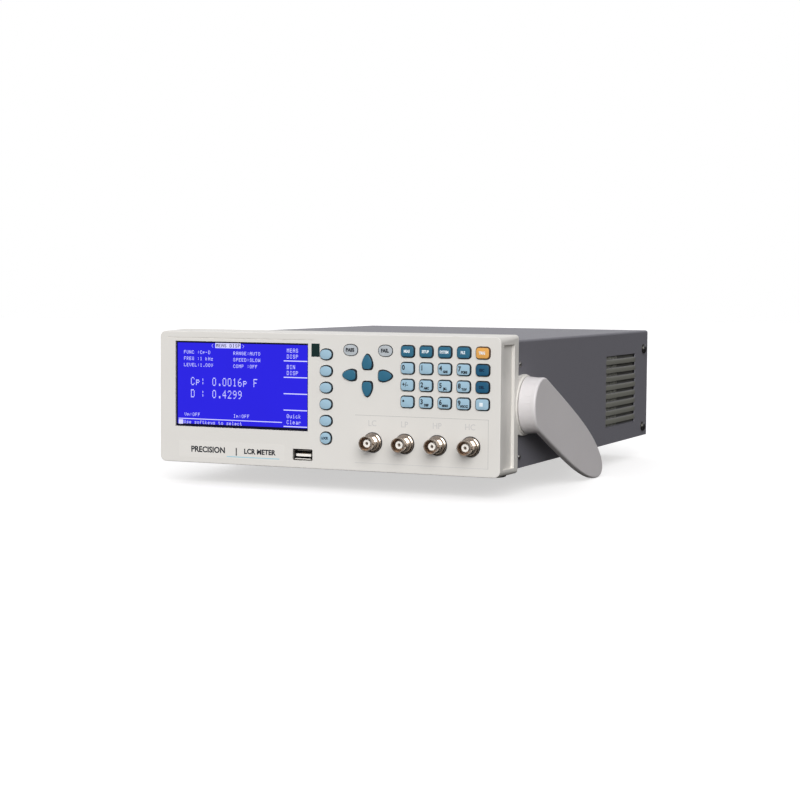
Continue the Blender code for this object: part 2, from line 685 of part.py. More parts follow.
def power_module():
    """Mains inlet and the well of its rocker, in one flanged housing."""
    flange_back = REAR_FACE + GAP
    flange_face = flange_back + FLANGE_THICKNESS
    body = rounded(*POWER_BODY, 0.6, 1)
    flange = rounded(*POWER_FLANGE, 2.0, 1)
    module = node("power_inlet", [[facing(body, REAR_FACE - 20.0), facing(body, flange_back),
                                   facing(flange, flange_back), facing(flange, flange_face)]],
                  BLACK_PLASTIC, (POWER_CENTRE[0], 0.0, POWER_CENTRE[1]))
    inlet_x, well_x = INLET_CENTRE_X - POWER_CENTRE[0], ROCKER_CENTRE_X - POWER_CENTRE[0]
    at = (POWER_CENTRE[0], 0.0, POWER_CENTRE[1])
    mouth, well = rounded(*INLET_CAVITY, 2.5, 2), rounded(*ROCKER_WELL, 0.5, 2)
    cuts = [[facing(outline, flange_face - depth, (x, 0.0)), facing(outline, flange_face + 2.0, (x, 0.0))]
            for outline, x, depth in ((mouth, inlet_x, INLET_DEPTH), (well, well_x, ROCKER_WELL_DEPTH))]
    combine(module, "cutter_power", cuts, "DIFFERENCE", at)
    blades = [box_rings((inlet_x + u - 1.0, flange_face - INLET_DEPTH - 1.0, v - 2.0),
                        (inlet_x + u + 1.0, flange_face - 3.0, v + 2.0)) for u, v in BLADES]
    combine(module, "guide_blades", blades, "UNION", at)


def power_rocker():
    """Rocker with a dished face, its side outline symmetrical about the axis."""
    half = ROCKER_WELL[0] / 2 - 0.5
    upper = [(4.0, 10.0), (-1.0, 9.4), (-4.0, 5.0)]
    side = [(2.6, 0.0)] + upper + [(-4.6, 0.0)] + [(u, -v) for u, v in reversed(upper)]
    node("power_rocker", [[across(side, -half), across(side, half)]], BLACK_PLASTIC,
         (ROCKER_CENTRE_X, ROCKER_AXIS_Y, POWER_CENTRE[1]), tilt_x=-ROCKER_TILT)


def d_outline(width, height, slope=1.1):
    """D-shaped shell of a nine-way connector, wide side up."""
    u, v, corner = width / 2, height / 2, 1.2
    return [(-u + slope, -v), (u - slope, -v), (u, v - corner),
            (u - corner, v), (-u + corner, v), (-u, v - corner)]


def serial_port():
    body, shell = d_outline(*SERIAL_BODY), d_outline(*SERIAL_SHELL)
    flange = d_outline(*SERIAL_FLANGE, 0.6)
    back, face = REAR_FACE + GAP, REAR_FACE + GAP + 1.0
    rings = [facing(body, REAR_FACE - 10.0), facing(body, back), facing(flange, back),
             facing(flange, face), facing(shell, face), facing(shell, REAR_FACE + 6.5)]
    node("serial_port", [rings], STEEL, (SERIAL_CENTRE[0], 0.0, SERIAL_CENTRE[1]))


def earth_terminal():
    """Stud with a nut inside the panel, a collar outside it and a round thumb nut at its tip."""
    face, inner = REAR_FACE + GAP, REAR_FACE - PLATE - GAP
    tip = face + TERMINAL_REACH
    profile = [(2.5, inner - 7.0), (2.5, inner - 5.0), (5.5, inner - 5.0), (5.5, inner),
               (2.9, inner), (2.9, face), (6.0, face), (6.0, face + 1.8), (2.6, face + 1.8),
               (2.6, face + 5.0), (5.2, face + 5.0), (5.2, tip - 1.0), (4.4, tip)]
    node("earth_terminal", [turned(profile, 12)], NICKEL, (TERMINAL_CENTRE[0], 0.0, TERMINAL_CENTRE[1]))


# ---------------------------------------------------------------- inside

def boards():
    """L-shaped key board behind the keys, and the main board on four posts with two shielded stages."""
    face = KEY_BACK + KEY_TRAVEL + GAP
    outline = [(KEY_BOARD_LEFT, KEY_BOARD_LOW), (KEY_BOARD_STEP_X, KEY_BOARD_LOW),
               (KEY_BOARD_STEP_X, KEY_BOARD_STEP_Z), (KEY_BOARD_RIGHT, KEY_BOARD_STEP_Z),
               (KEY_BOARD_RIGHT, KEY_BOARD_TOP), (KEY_BOARD_LEFT, KEY_BOARD_TOP)]
    node("key_board", [[facing(outline, face), facing(outline, face + BOARD_THICKNESS)]], BOARD, smooth=False)
    surface = BOARD_LOW + BOARD_THICKNESS
    main_board = node("main_board", [box_rings((-BOARD_HALF_WIDTH, BOARD_FRONT, BOARD_LOW),
                                               (BOARD_HALF_WIDTH, BOARD_REAR, surface))], BOARD, smooth=False)
    post, inset = 4.0, 8.0
    parts = [box_rings((x - post, y - post, CASE_BOTTOM + PLATE + GAP), (x + post, y + post, BOARD_LOW + 0.5))
             for x in (-BOARD_HALF_WIDTH + inset, BOARD_HALF_WIDTH - inset)
             for y in (BOARD_FRONT + inset, BOARD_REAR - inset)]
    parts.append(box_rings((-40.0, 150.0, surface - 0.5), (20.0, 200.0, surface + 12.0)))
    parts.append(box_rings((50.0, 140.0, surface - 0.5), (90.0, 170.0, surface + 6.0)))
    combine(main_board, "guide_board_parts", parts, "UNION")


def transformer():
    low = CASE_BOTTOM + PLATE + GAP
    x, y = TRANSFORMER_CENTRE
    width, depth, height = CORE_SIZE
    core = node("transformer", [box_rings((x - width / 2, y - depth / 2, low),
                                          (x + width / 2, y + depth / 2, low + height))], CORE, smooth=False)
    coil = rounded(COIL_SIZE[0], COIL_SIZE[2], 6.0)
    middle = (x, low + height / 2)
    coil_rings = [facing(coil, y + side * COIL_SIZE[1] / 2, middle) for side in (-1, 1)]
    combine(core, "guide_coil", [coil_rings], "UNION")


# ---------------------------------------------------------------- build

def main():
    for item in list(bpy.data.objects):
        bpy.data.objects.remove(item, do_unlink=True)
    front_bezel()
    display()
    keys_and_lamps()
    test_sockets()
    usb_socket()
    cover()
    base_chassis()
    rear_panel()
    cover_screws()
    feet()
    swing_arms()
    power_module()
    power_rocker()
    serial_port()
    earth_terminal()
    boards()
    transformer()


main()
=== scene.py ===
"""Looks of a bench LCR meter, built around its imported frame.

Finer pieces stand for the faceted CAD nodes, and every surface has a procedural material. Sizes
are millimetres in the meter's layout frame: X from the middle plane, Y back from the bezel's front
face, Z up from the bezel's lower edge. world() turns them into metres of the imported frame.
"""
import math

import bmesh
import bpy
from mathutils import Matrix, Vector
from mathutils.bvhtree import BVHTree

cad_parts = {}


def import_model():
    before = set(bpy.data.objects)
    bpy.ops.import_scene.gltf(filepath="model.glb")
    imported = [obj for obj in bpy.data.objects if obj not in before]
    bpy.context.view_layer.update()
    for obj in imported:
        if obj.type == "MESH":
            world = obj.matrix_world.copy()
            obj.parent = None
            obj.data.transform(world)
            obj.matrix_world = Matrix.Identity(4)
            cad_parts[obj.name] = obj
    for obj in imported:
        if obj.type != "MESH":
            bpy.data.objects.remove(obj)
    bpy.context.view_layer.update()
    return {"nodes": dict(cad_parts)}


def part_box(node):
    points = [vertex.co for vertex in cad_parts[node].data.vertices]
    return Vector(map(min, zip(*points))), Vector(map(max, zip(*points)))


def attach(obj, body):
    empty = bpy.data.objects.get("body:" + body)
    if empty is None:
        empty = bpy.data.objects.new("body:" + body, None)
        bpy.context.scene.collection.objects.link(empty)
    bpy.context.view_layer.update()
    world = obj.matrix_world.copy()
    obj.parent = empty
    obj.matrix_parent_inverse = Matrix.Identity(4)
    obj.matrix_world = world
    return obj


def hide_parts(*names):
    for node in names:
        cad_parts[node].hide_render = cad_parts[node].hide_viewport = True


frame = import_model()

MM = 0.001
BEZEL_LOW, BEZEL_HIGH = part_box("front_bezel")
ORIGIN = Vector((0.0, BEZEL_LOW.y, BEZEL_LOW.z))

# Bezel moulding
BEZEL_WIDTH = 275.0
BEZEL_HEIGHT = (BEZEL_HIGH.z - BEZEL_LOW.z) / MM
BEZEL_DEPTH = 34.5
BEZEL_CORNER = 2.8
FACE_X = (-137.3, 136.8)
FACE_Z = (-0.4, 98.1)
FACE_CORNER = 4.6
FACE_EDGE = 0.6
BEZEL_HALF = BEZEL_WIDTH / 2
PANEL_WALL = 3.0
REBATE_DEPTH = 2.7
CAVITY = (131.7, 3.5, 94.5)
RECESS_Y = (5.8, 26.6)
RECESS_Z = (4.5, 92.4)
RECESS_DEPTH = 2.4
GROOVE = (-131.0, 92.8, -8.0, 93.6)
GAP = 0.3

# Hinge ears and swing arms
EAR_RADIUS = 22.2
EAR_PAD_RADIUS = 21.8
EAR_OUTER_X = 138.4
HUB_SEAM_X = 138.7
HUB_SEAM_RADIUS = 20.7
HUB_TOP_RADIUS = 19.9
ARM_INNER_X = 147.0
ARM_OUTER_X = 151.5
ARM_HALF_WIDTH = 20.2
ARM_REACH = 155.0
ARM_ROUND = 1.5
ARM_DROOP = 22.5
SPIGOT_RADIUS = 7.0
HUB_ROUND = 96

# Case
CASE_HALF = 134.7
CASE_BOTTOM = 2.7
CASE_TOP = 95.1
CASE_REAR = 378.0
SHEET = 1.2
FOLD_RADIUS = 2.0
SLOT_COUNT = 9
SLOT_FRONT = 255.0
SLOT_REAR = 340.0
SLOT_TOP_Z = 74.4
SLOT_PITCH = 7.05
SLOT_HEIGHT = 2.8
LOUVRE_BULGE = 0.9
BAR_COUNT = 9
SCREW_RADIUS = 4.0
SCREW_HEIGHT = 2.3

# Keys and lamps
KEY_SLIT = 0.42
KEY_PROUD = 2.0
KEY_LEDGE = 0.5
KEY_SHOULDER = 0.3
KEY_DOME = 0.35
SOFT_SIZE = (10.0, 8.0)
LOCK_SIZE = (9.2, 9.0)
ARROW_SIZE = (11.3, 8.6)
PAD_SIZE = (10.4, 8.4)
PAD_CORNER = 2.4
LAMP_SIZE = (11.2, 8.2)
LAMP_PROUD = 0.5
LAMPS = {"pass_lamp": "PASS", "fail_lamp": "FAIL"}
KEY_LETTERS = {"4": "GHI", "7": "PQRS", "2": "ABC", "5": "JKL", "8": "TUV",
               "3": "DEF", "6": "MNO", "9": "WXYZ"}

# Display
WINDOW_RECESS = 0.8
WINDOW_LIP = 2.5
LCD_MARGIN = (1.6, 1.3, 0.8, 2.1)
TITLE_BAR = (33.8, 1.1, 55.3, 4.9)
LINE_PITCH = 4.78
MENU_PITCH = 12.03
MENU = (("MEAS", "DISP"), ("BIN", "DISP"), ("", ""), ("", ""), ("Quick", "Clear"))
SMALL_DOT = (0.33, 0.36)
MENU_DOT = (0.35, 0.42)
LARGE_DOT = (0.62, 0.87)

# Sockets on the front
SOCKET_REACH = 13.0
SOCKET_BARREL = 5.4
SOCKET_HOLE = 6.3
USB_HOLE = (16.2, 8.4)
SOCKET_FRAME = (25.2, 5.6, 128.0, 40.3)

# Rear panel
INLET_X = -81.5
ROCKER_X = -108.5
ROCKER_AXIS_Y = 376.2
ROCKER_TILT = 8.0
LABEL_X = 56.0

# Surfaces and print
NOISE_SPAN = (0.3, 0.7)
CAPITAL_SHARE = 0.7
PRINT_THICKNESS = 0.02
PRINT_LIFT = 0.07

# Studio: a sun is its name, degrees round from the front, degrees up, strength and softness
FLOOR_RADIUS = 6.0
BRIGHT_SIDE = (-0.30, -0.20, 0.85)
SUNS = (("key", 25, 27, 2.3, 42), ("back_fill", 215, 40, 0.5, 60))
CAMERA_PLACE = (569.6, -1166.0, 134.4)
CAMERA_LENS = 80.56
CAMERA_YAW = 23.589
CAMERA_FALL = 3.704
CAMERA_ROLL = 0.41

OVALS = [f"soft_key_{i}" for i in range(1, 6)]
ARROWS = {"arrow_right": 0, "arrow_up": 90, "arrow_left": 180, "arrow_down": 270}
PAD_ROWS = (("meas", "setup", "system", "file", "trigger"),
            ("0", "1", "4", "7", "escape"),
            ("sign", "2", "5", "8", "backspace"),
            ("point", "3", "6", "9", "enter"))
SOCKETS = [f"test_socket_{i}" for i in range(1, 5)]


def world(x, y, z):
    """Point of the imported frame, in metres, for a point of the layout frame."""
    return ORIGIN + Vector((x, y, z)) * MM


def spot(node):
    """Lowest corner, highest corner and middle of a CAD node in the layout frame."""
    low, high = ((corner - ORIGIN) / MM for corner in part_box(node))
    return low, high, (low + high) / 2


def centre_of(node):
    """Middle of a CAD node across and up the layout frame."""
    middle = spot(node)[2]
    return middle.x, middle.z


# ---------------------------------------------------------------- materials

def srgb(red, green, blue):
    """Linear colour of an 8-bit display colour."""
    return tuple(((c / 255 + 0.055) / 1.055) ** 2.4 for c in (red, green, blue)) + (1.0,)


def shades(colour, share):
    """A colour made darker and lighter by a share."""
    return [tuple(min(1.0, c * (1 + side * share)) for c in colour[:3]) + (1.0,) for side in (-1, 1)]


class Surface:
    """A Principled material and short calls for the nodes that give it its detail."""

    def __init__(self, name, colour, roughness, metallic=0.0):
        self.material = bpy.data.materials.new(name)
        self.material.use_nodes = True
        self.tree = self.material.node_tree
        self.shader = self.tree.nodes["Principled BSDF"]
        self.colour, self.roughness = colour, roughness
        self.set("Base Color", colour)
        self.set("Roughness", roughness)
        self.set("Metallic", metallic)
        self.place = self.tree.nodes.new("ShaderNodeTexCoord").outputs["Object"]

    def set(self, socket, value):
        self.shader.inputs[socket].default_value = value

    def link(self, output, socket):
        self.tree.links.new(output, self.shader.inputs[socket])

    def node(self, kind, feed, into, values):
        """New node with some input values set and an output fed into another input."""
        made = self.tree.nodes.new("ShaderNode" + kind)
        for socket, value in values.items():
            made.inputs[socket].default_value = value
        self.tree.links.new(feed, made.inputs[into])
        return made

    def noise(self, scale, detail=2.0, stretch=None):
        place = self.place
        if stretch:
            place = self.node("Mapping", place, "Vector", {"Scale": stretch}).outputs["Vector"]
        return self.node("TexNoise", place, "Vector", {"Scale": scale, "Detail": detail}).outputs["Fac"]

    def ramp(self, factor, colours):
        """Colour that runs from the first to the second over the middle of a noise."""
        made = self.node("ValToRGB", factor, "Fac", {})
        for stop, position, colour in zip(made.color_ramp.elements, NOISE_SPAN, colours):
            stop.position, stop.color = position, colour
        return made.outputs["Color"]

    def spread(self, factor, low, high):
        """Value that runs from low to high over the middle of a noise."""
        values = {"From Min": NOISE_SPAN[0], "From Max": NOISE_SPAN[1], "To Min": low, "To Max": high}
        return self.node("MapRange", factor, "Value", values).outputs["Result"]

    def mottle(self, scale, share, detail=2.0, stretch=None):
        """Colour that wanders by a share of itself."""
        factor = self.noise(scale, detail, stretch)
        self.link(self.ramp(factor, shades(self.colour, share)), "Base Color")
        return self

    def uneven(self, scale, amount, detail=2.0, stretch=None):
        """Roughness that wanders by an amount."""
        factor = self.noise(scale, detail, stretch)
        self.link(self.spread(factor, self.roughness - amount, self.roughness + amount), "Roughness")
        return self

    def grain(self, scale, distance, strength=0.4, detail=2.0, stretch=None):
        """Bump of a fine relief, its depth in millimetres."""
        factor = self.noise(scale, detail, stretch)
        made = self.node("Bump", factor, "Height", {"Strength": strength, "Distance": distance * MM})
        self.link(made.outputs["Normal"], "Normal")
        return self


def moulded(name, colour, roughness=0.45, grain=0.03):
    """Moulded plastic with a fine spark-eroded texture."""
    made = Surface(name, colour, roughness).mottle(18, 0.018, 4).uneven(60, 0.06, 4)
    return made.grain(2600, grain, 0.3, 3)


def powder_coat(name, colour, roughness=0.5):
    """Textured powder coat: orange peel with small speckles of shade."""
    made = Surface(name, colour, roughness).mottle(1500, 0.12, 5).uneven(900, 0.05, 3)
    return made.grain(1100, 0.09, 0.35, 4)


def plated(name, colour, roughness=0.2):
    """Plated metal with faint cloudiness and turning marks."""
    made = Surface(name, colour, roughness, 1.0).mottle(220, 0.08, 4).uneven(380, 0.07, 4)
    return made.grain(900, 0.012, 0.2, 2, (1.0, 9.0, 1.0))


def sheet_metal(name, colour, roughness=0.35):
    """Rolled and plated sheet with its rolling lines along Y."""
    made = Surface(name, colour, roughness, 1.0).mottle(35, 0.08, 4).uneven(70, 0.08, 3, (12.0, 1.0, 12.0))
    return made.grain(240, 0.012, 0.25, 3, (12.0, 0.5, 12.0))


def rubber(name, colour):
    made = Surface(name, colour, 0.75).mottle(90, 0.14, 4).uneven(120, 0.06)
    return made.grain(1900, 0.05, 0.5, 3)


def ink(name, colour):
    """Screen-printed ink with slightly uneven cover."""
    made = Surface(name, colour, 0.6).mottle(500, 0.06, 3).uneven(400, 0.08)
    made.set("Specular IOR Level", 0.25)
    return made


def glowing(name, colour, strength, base, share=0.03):
    """Backlit surface behind a clear front."""
    made = Surface(name, base, 0.22).uneven(40, 0.04)
    made.link(made.ramp(made.noise(12), shades(colour, share)), "Emission Color")
    made.set("Emission Strength", strength)
    made.set("Specular IOR Level", 0.12)
    return made


def lens(name, colour):
    """Frosted translucent lens."""
    made = Surface(name, colour, 0.3).mottle(260, 0.05, 4).uneven(180, 0.06)
    made.set("Coat Weight", 0.5)
    made.set("Coat Roughness", 0.12)
    return made.grain(700, 0.03, 0.3)


def laminated(name, colour):
    """Stacked steel laminations under varnish."""
    made = Surface(name, colour, 0.4, 0.5).mottle(120, 0.2, 3, (1.0, 14.0, 1.0))
    return made.grain(160, 0.15, 0.6, 1, (0.2, 14.0, 0.2))


def circuit(name, colour):
    """Solder mask over copper tracks."""
    made = Surface(name, colour, 0.35).mottle(160, 0.25, 6, (1.0, 3.0, 1.0))
    return made.grain(300, 0.04, 0.5, 2, (1.0, 4.0, 1.0))


def key_look(hue, cap, shaded_skirt, roughness, skirt_roughness=0.6):
    """Cap surface of one key colour, a darker copy of it in painted shade for the key's base, and its record
    slot.
    """
    return (moulded(f"{hue}_key_fine", srgb(*cap), roughness, 0.015),
            moulded(f"{hue}_key_skirt_painted_shade", srgb(*shaded_skirt), skirt_roughness), f"{hue}_key")


BEZEL = moulded("bezel_plastic_fine", srgb(226, 223, 217))
ARM = moulded("arm_plastic_fine", srgb(223, 219, 219), 0.42)
PAINT = powder_coat("case_paint_fine", srgb(117, 116, 123), 0.55)
# The second colour of each key is painted shade: a dark copy of its hue for the base of the cap, in place of
# the shade in the slit and on the lower flank.
LIGHT_KEY = key_look("light", (160, 193, 211), (3, 24, 36), 0.38)
TEAL_KEY = key_look("teal", (38, 104, 132), (2, 20, 34), 0.34)
BLUE_KEY = key_look("blue", (4, 84, 118), (2, 16, 30), 0.36)
ORANGE_KEY = key_look("orange", (232, 170, 84), (92, 52, 14), 0.38, 0.5)
LENS = lens("lamp_lens_fine", srgb(186, 192, 196))
LENS_RIM = moulded("lamp_rim", srgb(70, 72, 76), 0.4)
NICKEL = plated("nickel_fine", srgb(196, 182, 168), 0.12)
# Darker, rougher copy of the nickel: painted shade inside the socket barrels and on their centre contacts.
BORE_SHADE = plated("bore_painted_shade", srgb(176, 158, 142), 0.3)
ZINC = plated("zinc_fine", srgb(126, 126, 128), 0.32)
DARK_ZINC = plated("dark_zinc", srgb(86, 85, 78), 0.3)
LOUVRE = powder_coat("louvre_paint", srgb(116, 116, 108), 0.45)
VENT_BARS = powder_coat("vent_bars", srgb(140, 140, 132), 0.5)
VENT_BACK = powder_coat("vent_back", srgb(96, 95, 90), 0.6)
STEEL = sheet_metal("steel_fine", srgb(168, 166, 164))
WHITE_PLASTIC = moulded("white_insulator", srgb(250, 246, 238), 0.4, 0.01)
BLACK = moulded("black_plastic_fine", srgb(30, 30, 32), 0.45)
# Near-black painted shade for the inside of the USB mouth.
CAVITY_SHADE = moulded("cavity_painted_shade", srgb(12, 12, 14), 0.7)
GOLD = plated("gold_contact", srgb(222, 178, 92), 0.25)
RUBBER = rubber("rubber_fine", srgb(32, 32, 34))
BORDER = glowing("screen_border", srgb(4, 4, 40), 0.6, srgb(6, 6, 22))
SCREEN = glowing("screen_blue", srgb(40, 32, 226), 1.0, srgb(6, 5, 30))
LIT = glowing("screen_dots", srgb(214, 214, 255), 1.0, srgb(60, 60, 110))
UNLIT = glowing("screen_dark_dots", srgb(4, 3, 30), 0.5, srgb(4, 4, 20))
DARK_INK = ink("dark_ink", srgb(30, 34, 42))
NAVY_INK = ink("navy_ink", srgb(8, 34, 62))
WHITE_INK = ink("white_ink", srgb(236, 244, 248))
# Darker ink for the top and right sides of the socket frame: painted shade of an embossed line.
FRAME_SHADE_INK = ink("frame_shade_ink", srgb(188, 186, 182))
PALE_INK = ink("pale_ink", srgb(207, 205, 202))
BLUE_INK = ink("blue_ink", srgb(168, 210, 222))
GREEN_TAG = ink("green_tag", srgb(0, 38, 36))
STRIP = moulded("name_strip", srgb(229, 226, 220), 0.4, 0.01)
BOARD = circuit("board_fine", srgb(20, 92, 56))
CORE = laminated("core_fine", srgb(96, 84, 66))


# ---------------------------------------------------------------- outlines (pairs u, v)

def circle(radius, count=48):
    return [(radius * math.cos(2 * math.pi * i / count), radius * math.sin(2 * math.pi * i / count))
            for i in range(count)]


def quarter(steps):
    """Cosine and sine at even steps of a quarter turn, both ends included."""
    angles = [math.radians(90 * i / steps) for i in range(steps + 1)]
    return [(math.cos(angle), math.sin(angle)) for angle in angles]


def rotated(outline, degrees):
    c, s = math.cos(math.radians(degrees)), math.sin(math.radians(degrees))
    return [(c * u - s * v, s * u + c * v) for u, v in outline]


def superellipse(angle, power, half_width, half_height):
    """Point at an angle of an ellipse, squarer for a power above two."""
    c, s = math.cos(angle), math.sin(angle)
    return (math.copysign(abs(c) ** (2 / power), c) * half_width,
            math.copysign(abs(s) ** (2 / power), s) * half_height)


def oval(width, height, count=48, power=2.3):
    """Slightly squared oval."""
    return [superellipse(2 * math.pi * (i + 0.5) / count, power, width / 2, height / 2) for i in range(count)]


def rounded(width, height, radius, steps=6):
    """Rectangle with round corners, steps segments to each corner."""
    radius = max(radius, 0.05)
    points = []
    for corner, (sx, sy) in enumerate(((1, 1), (-1, 1), (-1, -1), (1, -1))):
        for i in range(steps + 1):
            angle = math.radians(90 * corner + 90 * i / steps)
            points.append((sx * (width / 2 - radius) + radius * math.cos(angle),
                           sy * (height / 2 - radius) + radius * math.sin(angle)))
    return points


def rectangle(low_u, low_v, high_u, high_v):
    return [(low_u, low_v), (high_u, low_v), (high_u, high_v), (low_u, high_v)]


def bullet(length, width, turn, grow=0.0, steps=14):
    """Arrow key: flat base with round corners, sides that close to a round nose, nose at +u."""
    half = width / 2 + grow
    base, nose = -length / 2 - grow, length / 2 + grow
    corner = 2.4
    side = sorted((base + corner * (1 - s), half - 0.25 - corner * (1 - c)) for c, s in quarter(5))
    shoulder = base + 0.36 * length
    for i in range(steps):
        run = (i / steps) ** 0.7
        side.append((shoulder + run * (nose - shoulder), half * (1 - run ** 1.45) ** 0.55))
    return rotated(side + [(nose, 0.0)] + [(u, -v) for u, v in reversed(side)], turn)


def arm_outline(inset=0.0, round_steps=36, side_steps=30):
    """Swing arm: round about the hinge, then tapering as a long blunt tongue that droops aft."""
    half, reach = ARM_HALF_WIDTH - inset, ARM_REACH - inset
    loop = []
    for i in range(round_steps + 1):
        angle = math.radians(90 + 180 * i / round_steps)
        loop.append((half * math.cos(angle), half * math.sin(angle)))
    lower = []
    for i in range(1, side_steps):
        run = math.sin(math.pi / 2 * i / side_steps) ** 0.8
        lower.append((reach * run, -half * math.sqrt(1 - run ** 4)))
    return rotated(loop + lower + [(reach, 0.0)] + [(u, -v) for u, v in reversed(lower)], -ARM_DROOP)


def ear_outline(radius, count=HUB_ROUND):
    """Hinge ear: round behind the axis, squarer in front where it runs into the bezel."""
    points = []
    for i in range(count):
        angle = 2 * math.pi * i / count
        power = 2.0 + 3.0 * max(0.0, -math.cos(angle))
        points.append(superellipse(angle, power, radius, radius))
    return points


def scaled(outline, share):
    return [(u * share, v * share) for u, v in outline]


def across(outline, x, centre=(0.0, 0.0)):
    """Ring of points in the plane at x, outline along Y and Z."""
    return [(x, u + centre[0], v + centre[1]) for u, v in outline]


def facing(outline, y, centre=(0.0, 0.0)):
    """Ring of points in the plane at y, outline along X and Z."""
    return [(u + centre[0], y, v + centre[1]) for u, v in outline]


def level(outline, z, centre=(0.0, 0.0)):
    """Ring of points in the plane at z, outline along X and Y."""
    return [(u + centre[0], v + centre[1], z) for u, v in outline]


def turned(profile, centre, count=48):
    """Rings about the Y direction from (radius, y) pairs."""
    return [facing(circle(radius, count), y, centre) for radius, y in profile]


def box_rings(low, high):
    return [level(rectangle(low[0], low[1], high[0], high[1]), z) for z in (low[2], high[2])]


def slab(outline, near, far, centre=(0.0, 0.0)):
    """Body between the planes at two y, outline along X and Z."""
    return [facing(outline, near, centre), facing(outline, far, centre)]


def wall(outline, near, far, centre=(0.0, 0.0)):
    """Body between the planes at two x, outline along Y and Z."""
    return [across(outline, near, centre), across(outline, far, centre)]


def stacked(levels, centre=(0.0, 0.0)):
    """Body through (outline, y) pairs, outlines along X and Z."""
    return [facing(outline, y, centre) for outline, y in levels]


# ---------------------------------------------------------------- pieces

def loft(bm, rings, slots=None):
    """Closed body through rings of equal count, capped at both ends; slots[i] colours band i."""
    made = [[bm.verts.new(world(*point)) for point in ring] for ring in rings]
    count = len(made[0])
    faces = [bm.faces.new(made[0]), bm.faces.new(reversed(made[-1]))]
    for band, (low, high) in enumerate(zip(made, made[1:])):
        for i in range(count):
            j = (i + 1) % count
            face = bm.faces.new((low[i], low[j], high[j], high[i]))
            face.material_index = slots[band] if slots else 0
            faces.append(face)
    if slots:
        faces[0].material_index = slots[0]
        faces[1].material_index = slots[-1]
    bmesh.ops.recalc_face_normals(bm, faces=faces)


def placed(name, data):
    """Object of a mesh, curve, light or camera, linked to the scene."""
    made = bpy.data.objects.new(name, data)
    bpy.context.scene.collection.objects.link(made)
    return made


def from_bmesh(name, bm):
    """Object of a bmesh, which is freed."""
    mesh = bpy.data.meshes.new(name)
    bm.to_mesh(mesh)
    bm.free()
    return placed(name, mesh)


def bare(name, bodies, slots=None):
    """Unsmoothed object from a list of ring lists."""
    bm = bmesh.new()
    for rings in bodies:
        loft(bm, rings, slots)
    return from_bmesh(name, bm)


def apply_modifiers(piece):
    """Turns a piece's modifiers into its mesh."""
    seen = piece.evaluated_get(bpy.context.evaluated_depsgraph_get())
    mesh = bpy.data.meshes.new_from_object(seen)
    piece.modifiers.clear()
    piece.data = mesh
    return piece


def combine(piece, bodies, operation):
    """Boolean of a piece with helper bodies, applied at once."""
    helper = bare("helper", bodies)
    step = piece.modifiers.new("combine", "BOOLEAN")
    step.operation = operation
    step.object = helper
    step.solver = "EXACT"
    apply_modifiers(piece)
    bpy.data.objects.remove(helper)
    return piece


def soften(piece, width, segments=2, angle=35):
    """Rounds the sharp edges by a width in millimetres."""
    step = piece.modifiers.new("soften", "BEVEL")
    step.width = width * MM
    step.segments = segments
    step.limit_method = "ANGLE"
    step.angle_limit = math.radians(angle)
    step.harden_normals = True
    return apply_modifiers(piece)


def dress(piece, surfaces, body, stands_for=(), angle=35):
    """Shading, materials, the body it rides on, and hiding the CAD nodes it stands for."""
    for surface in surfaces:
        piece.data.materials.append(surface.material)
    piece.data.shade_smooth()
    piece.data.set_sharp_from_angle(angle=math.radians(angle))
    step = piece.modifiers.new("even", "WEIGHTED_NORMAL")
    step.keep_sharp = True
    apply_modifiers(piece)
    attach(piece, body)
    if stands_for:
        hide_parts(*stands_for)
    return piece


def fixed(name, bodies, surfaces, stands_for=(), angle=35, slots=None):
    """Finished piece that rides on the root body."""
    return dress(bare(name, bodies, slots), surfaces, "root", stands_for, angle)


def repaint(node, surface):
    """A CAD node that keeps its shape gets a fine material."""
    shown = frame["nodes"][node]
    for holder in shown.material_slots:
        holder.material = surface.material


def lettering(name, text, height, at, surface, body, wide=1.0, onto=None, bold=0.09, way=1):
    """Printed text that faces the front (the rear with way -1), on a piece or the plane at its Y."""
    curve = bpy.data.curves.new(name, "FONT")
    curve.body = text
    curve.size = height * MM / CAPITAL_SHARE
    curve.align_x = curve.align_y = "CENTER"
    curve.resolution_u = 3
    curve.offset = bold * MM
    curve.extrude = PRINT_THICKNESS * MM
    writer = placed(name + "_curve", curve)
    mesh = bpy.data.meshes.new_from_object(writer.evaluated_get(bpy.context.evaluated_depsgraph_get()))
    bpy.data.objects.remove(writer)
    skin = BVHTree.FromPolygons([v.co for v in onto.data.vertices],
                                [p.vertices for p in onto.data.polygons]) if onto else None
    start = world(*at)
    for vertex in mesh.vertices:
        u, v, depth = vertex.co
        point = start + Vector((way * u * wide, -way * depth, v))
        if skin:
            hit = skin.ray_cast(point - Vector((0.0, 20 * MM, 0.0)), Vector((0.0, 1.0, 0.0)))[0]
            if hit:
                point.y = hit.y - depth - PRINT_LIFT * MM
        vertex.co = point
    mesh.name = name
    mesh.materials.append(surface.material)
    made = placed(name, mesh)
    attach(made, body)
    return made


# ---------------------------------------------------------------- keys

def oval_key(size):
    return lambda grow: oval(size[0] + 2 * grow, size[1] + 2 * grow)


def pad_key(grow):
    return rounded(PAD_SIZE[0] + 2 * grow, PAD_SIZE[1] + 2 * grow, PAD_CORNER + grow)


def arrow_key(turn):
    return lambda grow: bullet(*ARROW_SIZE, turn, grow)


def key_list():
    """Node name, outline maker, cap surface, base surface in painted shade, and record slot of every key."""
    keys = [(name, oval_key(SOFT_SIZE)) + LIGHT_KEY for name in OVALS]
    keys.append(("lock_key", oval_key(LOCK_SIZE)) + LIGHT_KEY)
    keys += [(name, arrow_key(turn)) + TEAL_KEY for name, turn in ARROWS.items()]
    special = {"escape": BLUE_KEY, "backspace": BLUE_KEY, "trigger": ORANGE_KEY}
    for row, names in enumerate(PAD_ROWS):
        usual = LIGHT_KEY if row else TEAL_KEY
        keys += [(f"key_{name}", pad_key) + special.get(name, usual) for name in names]
    return keys


KEYS = key_list()


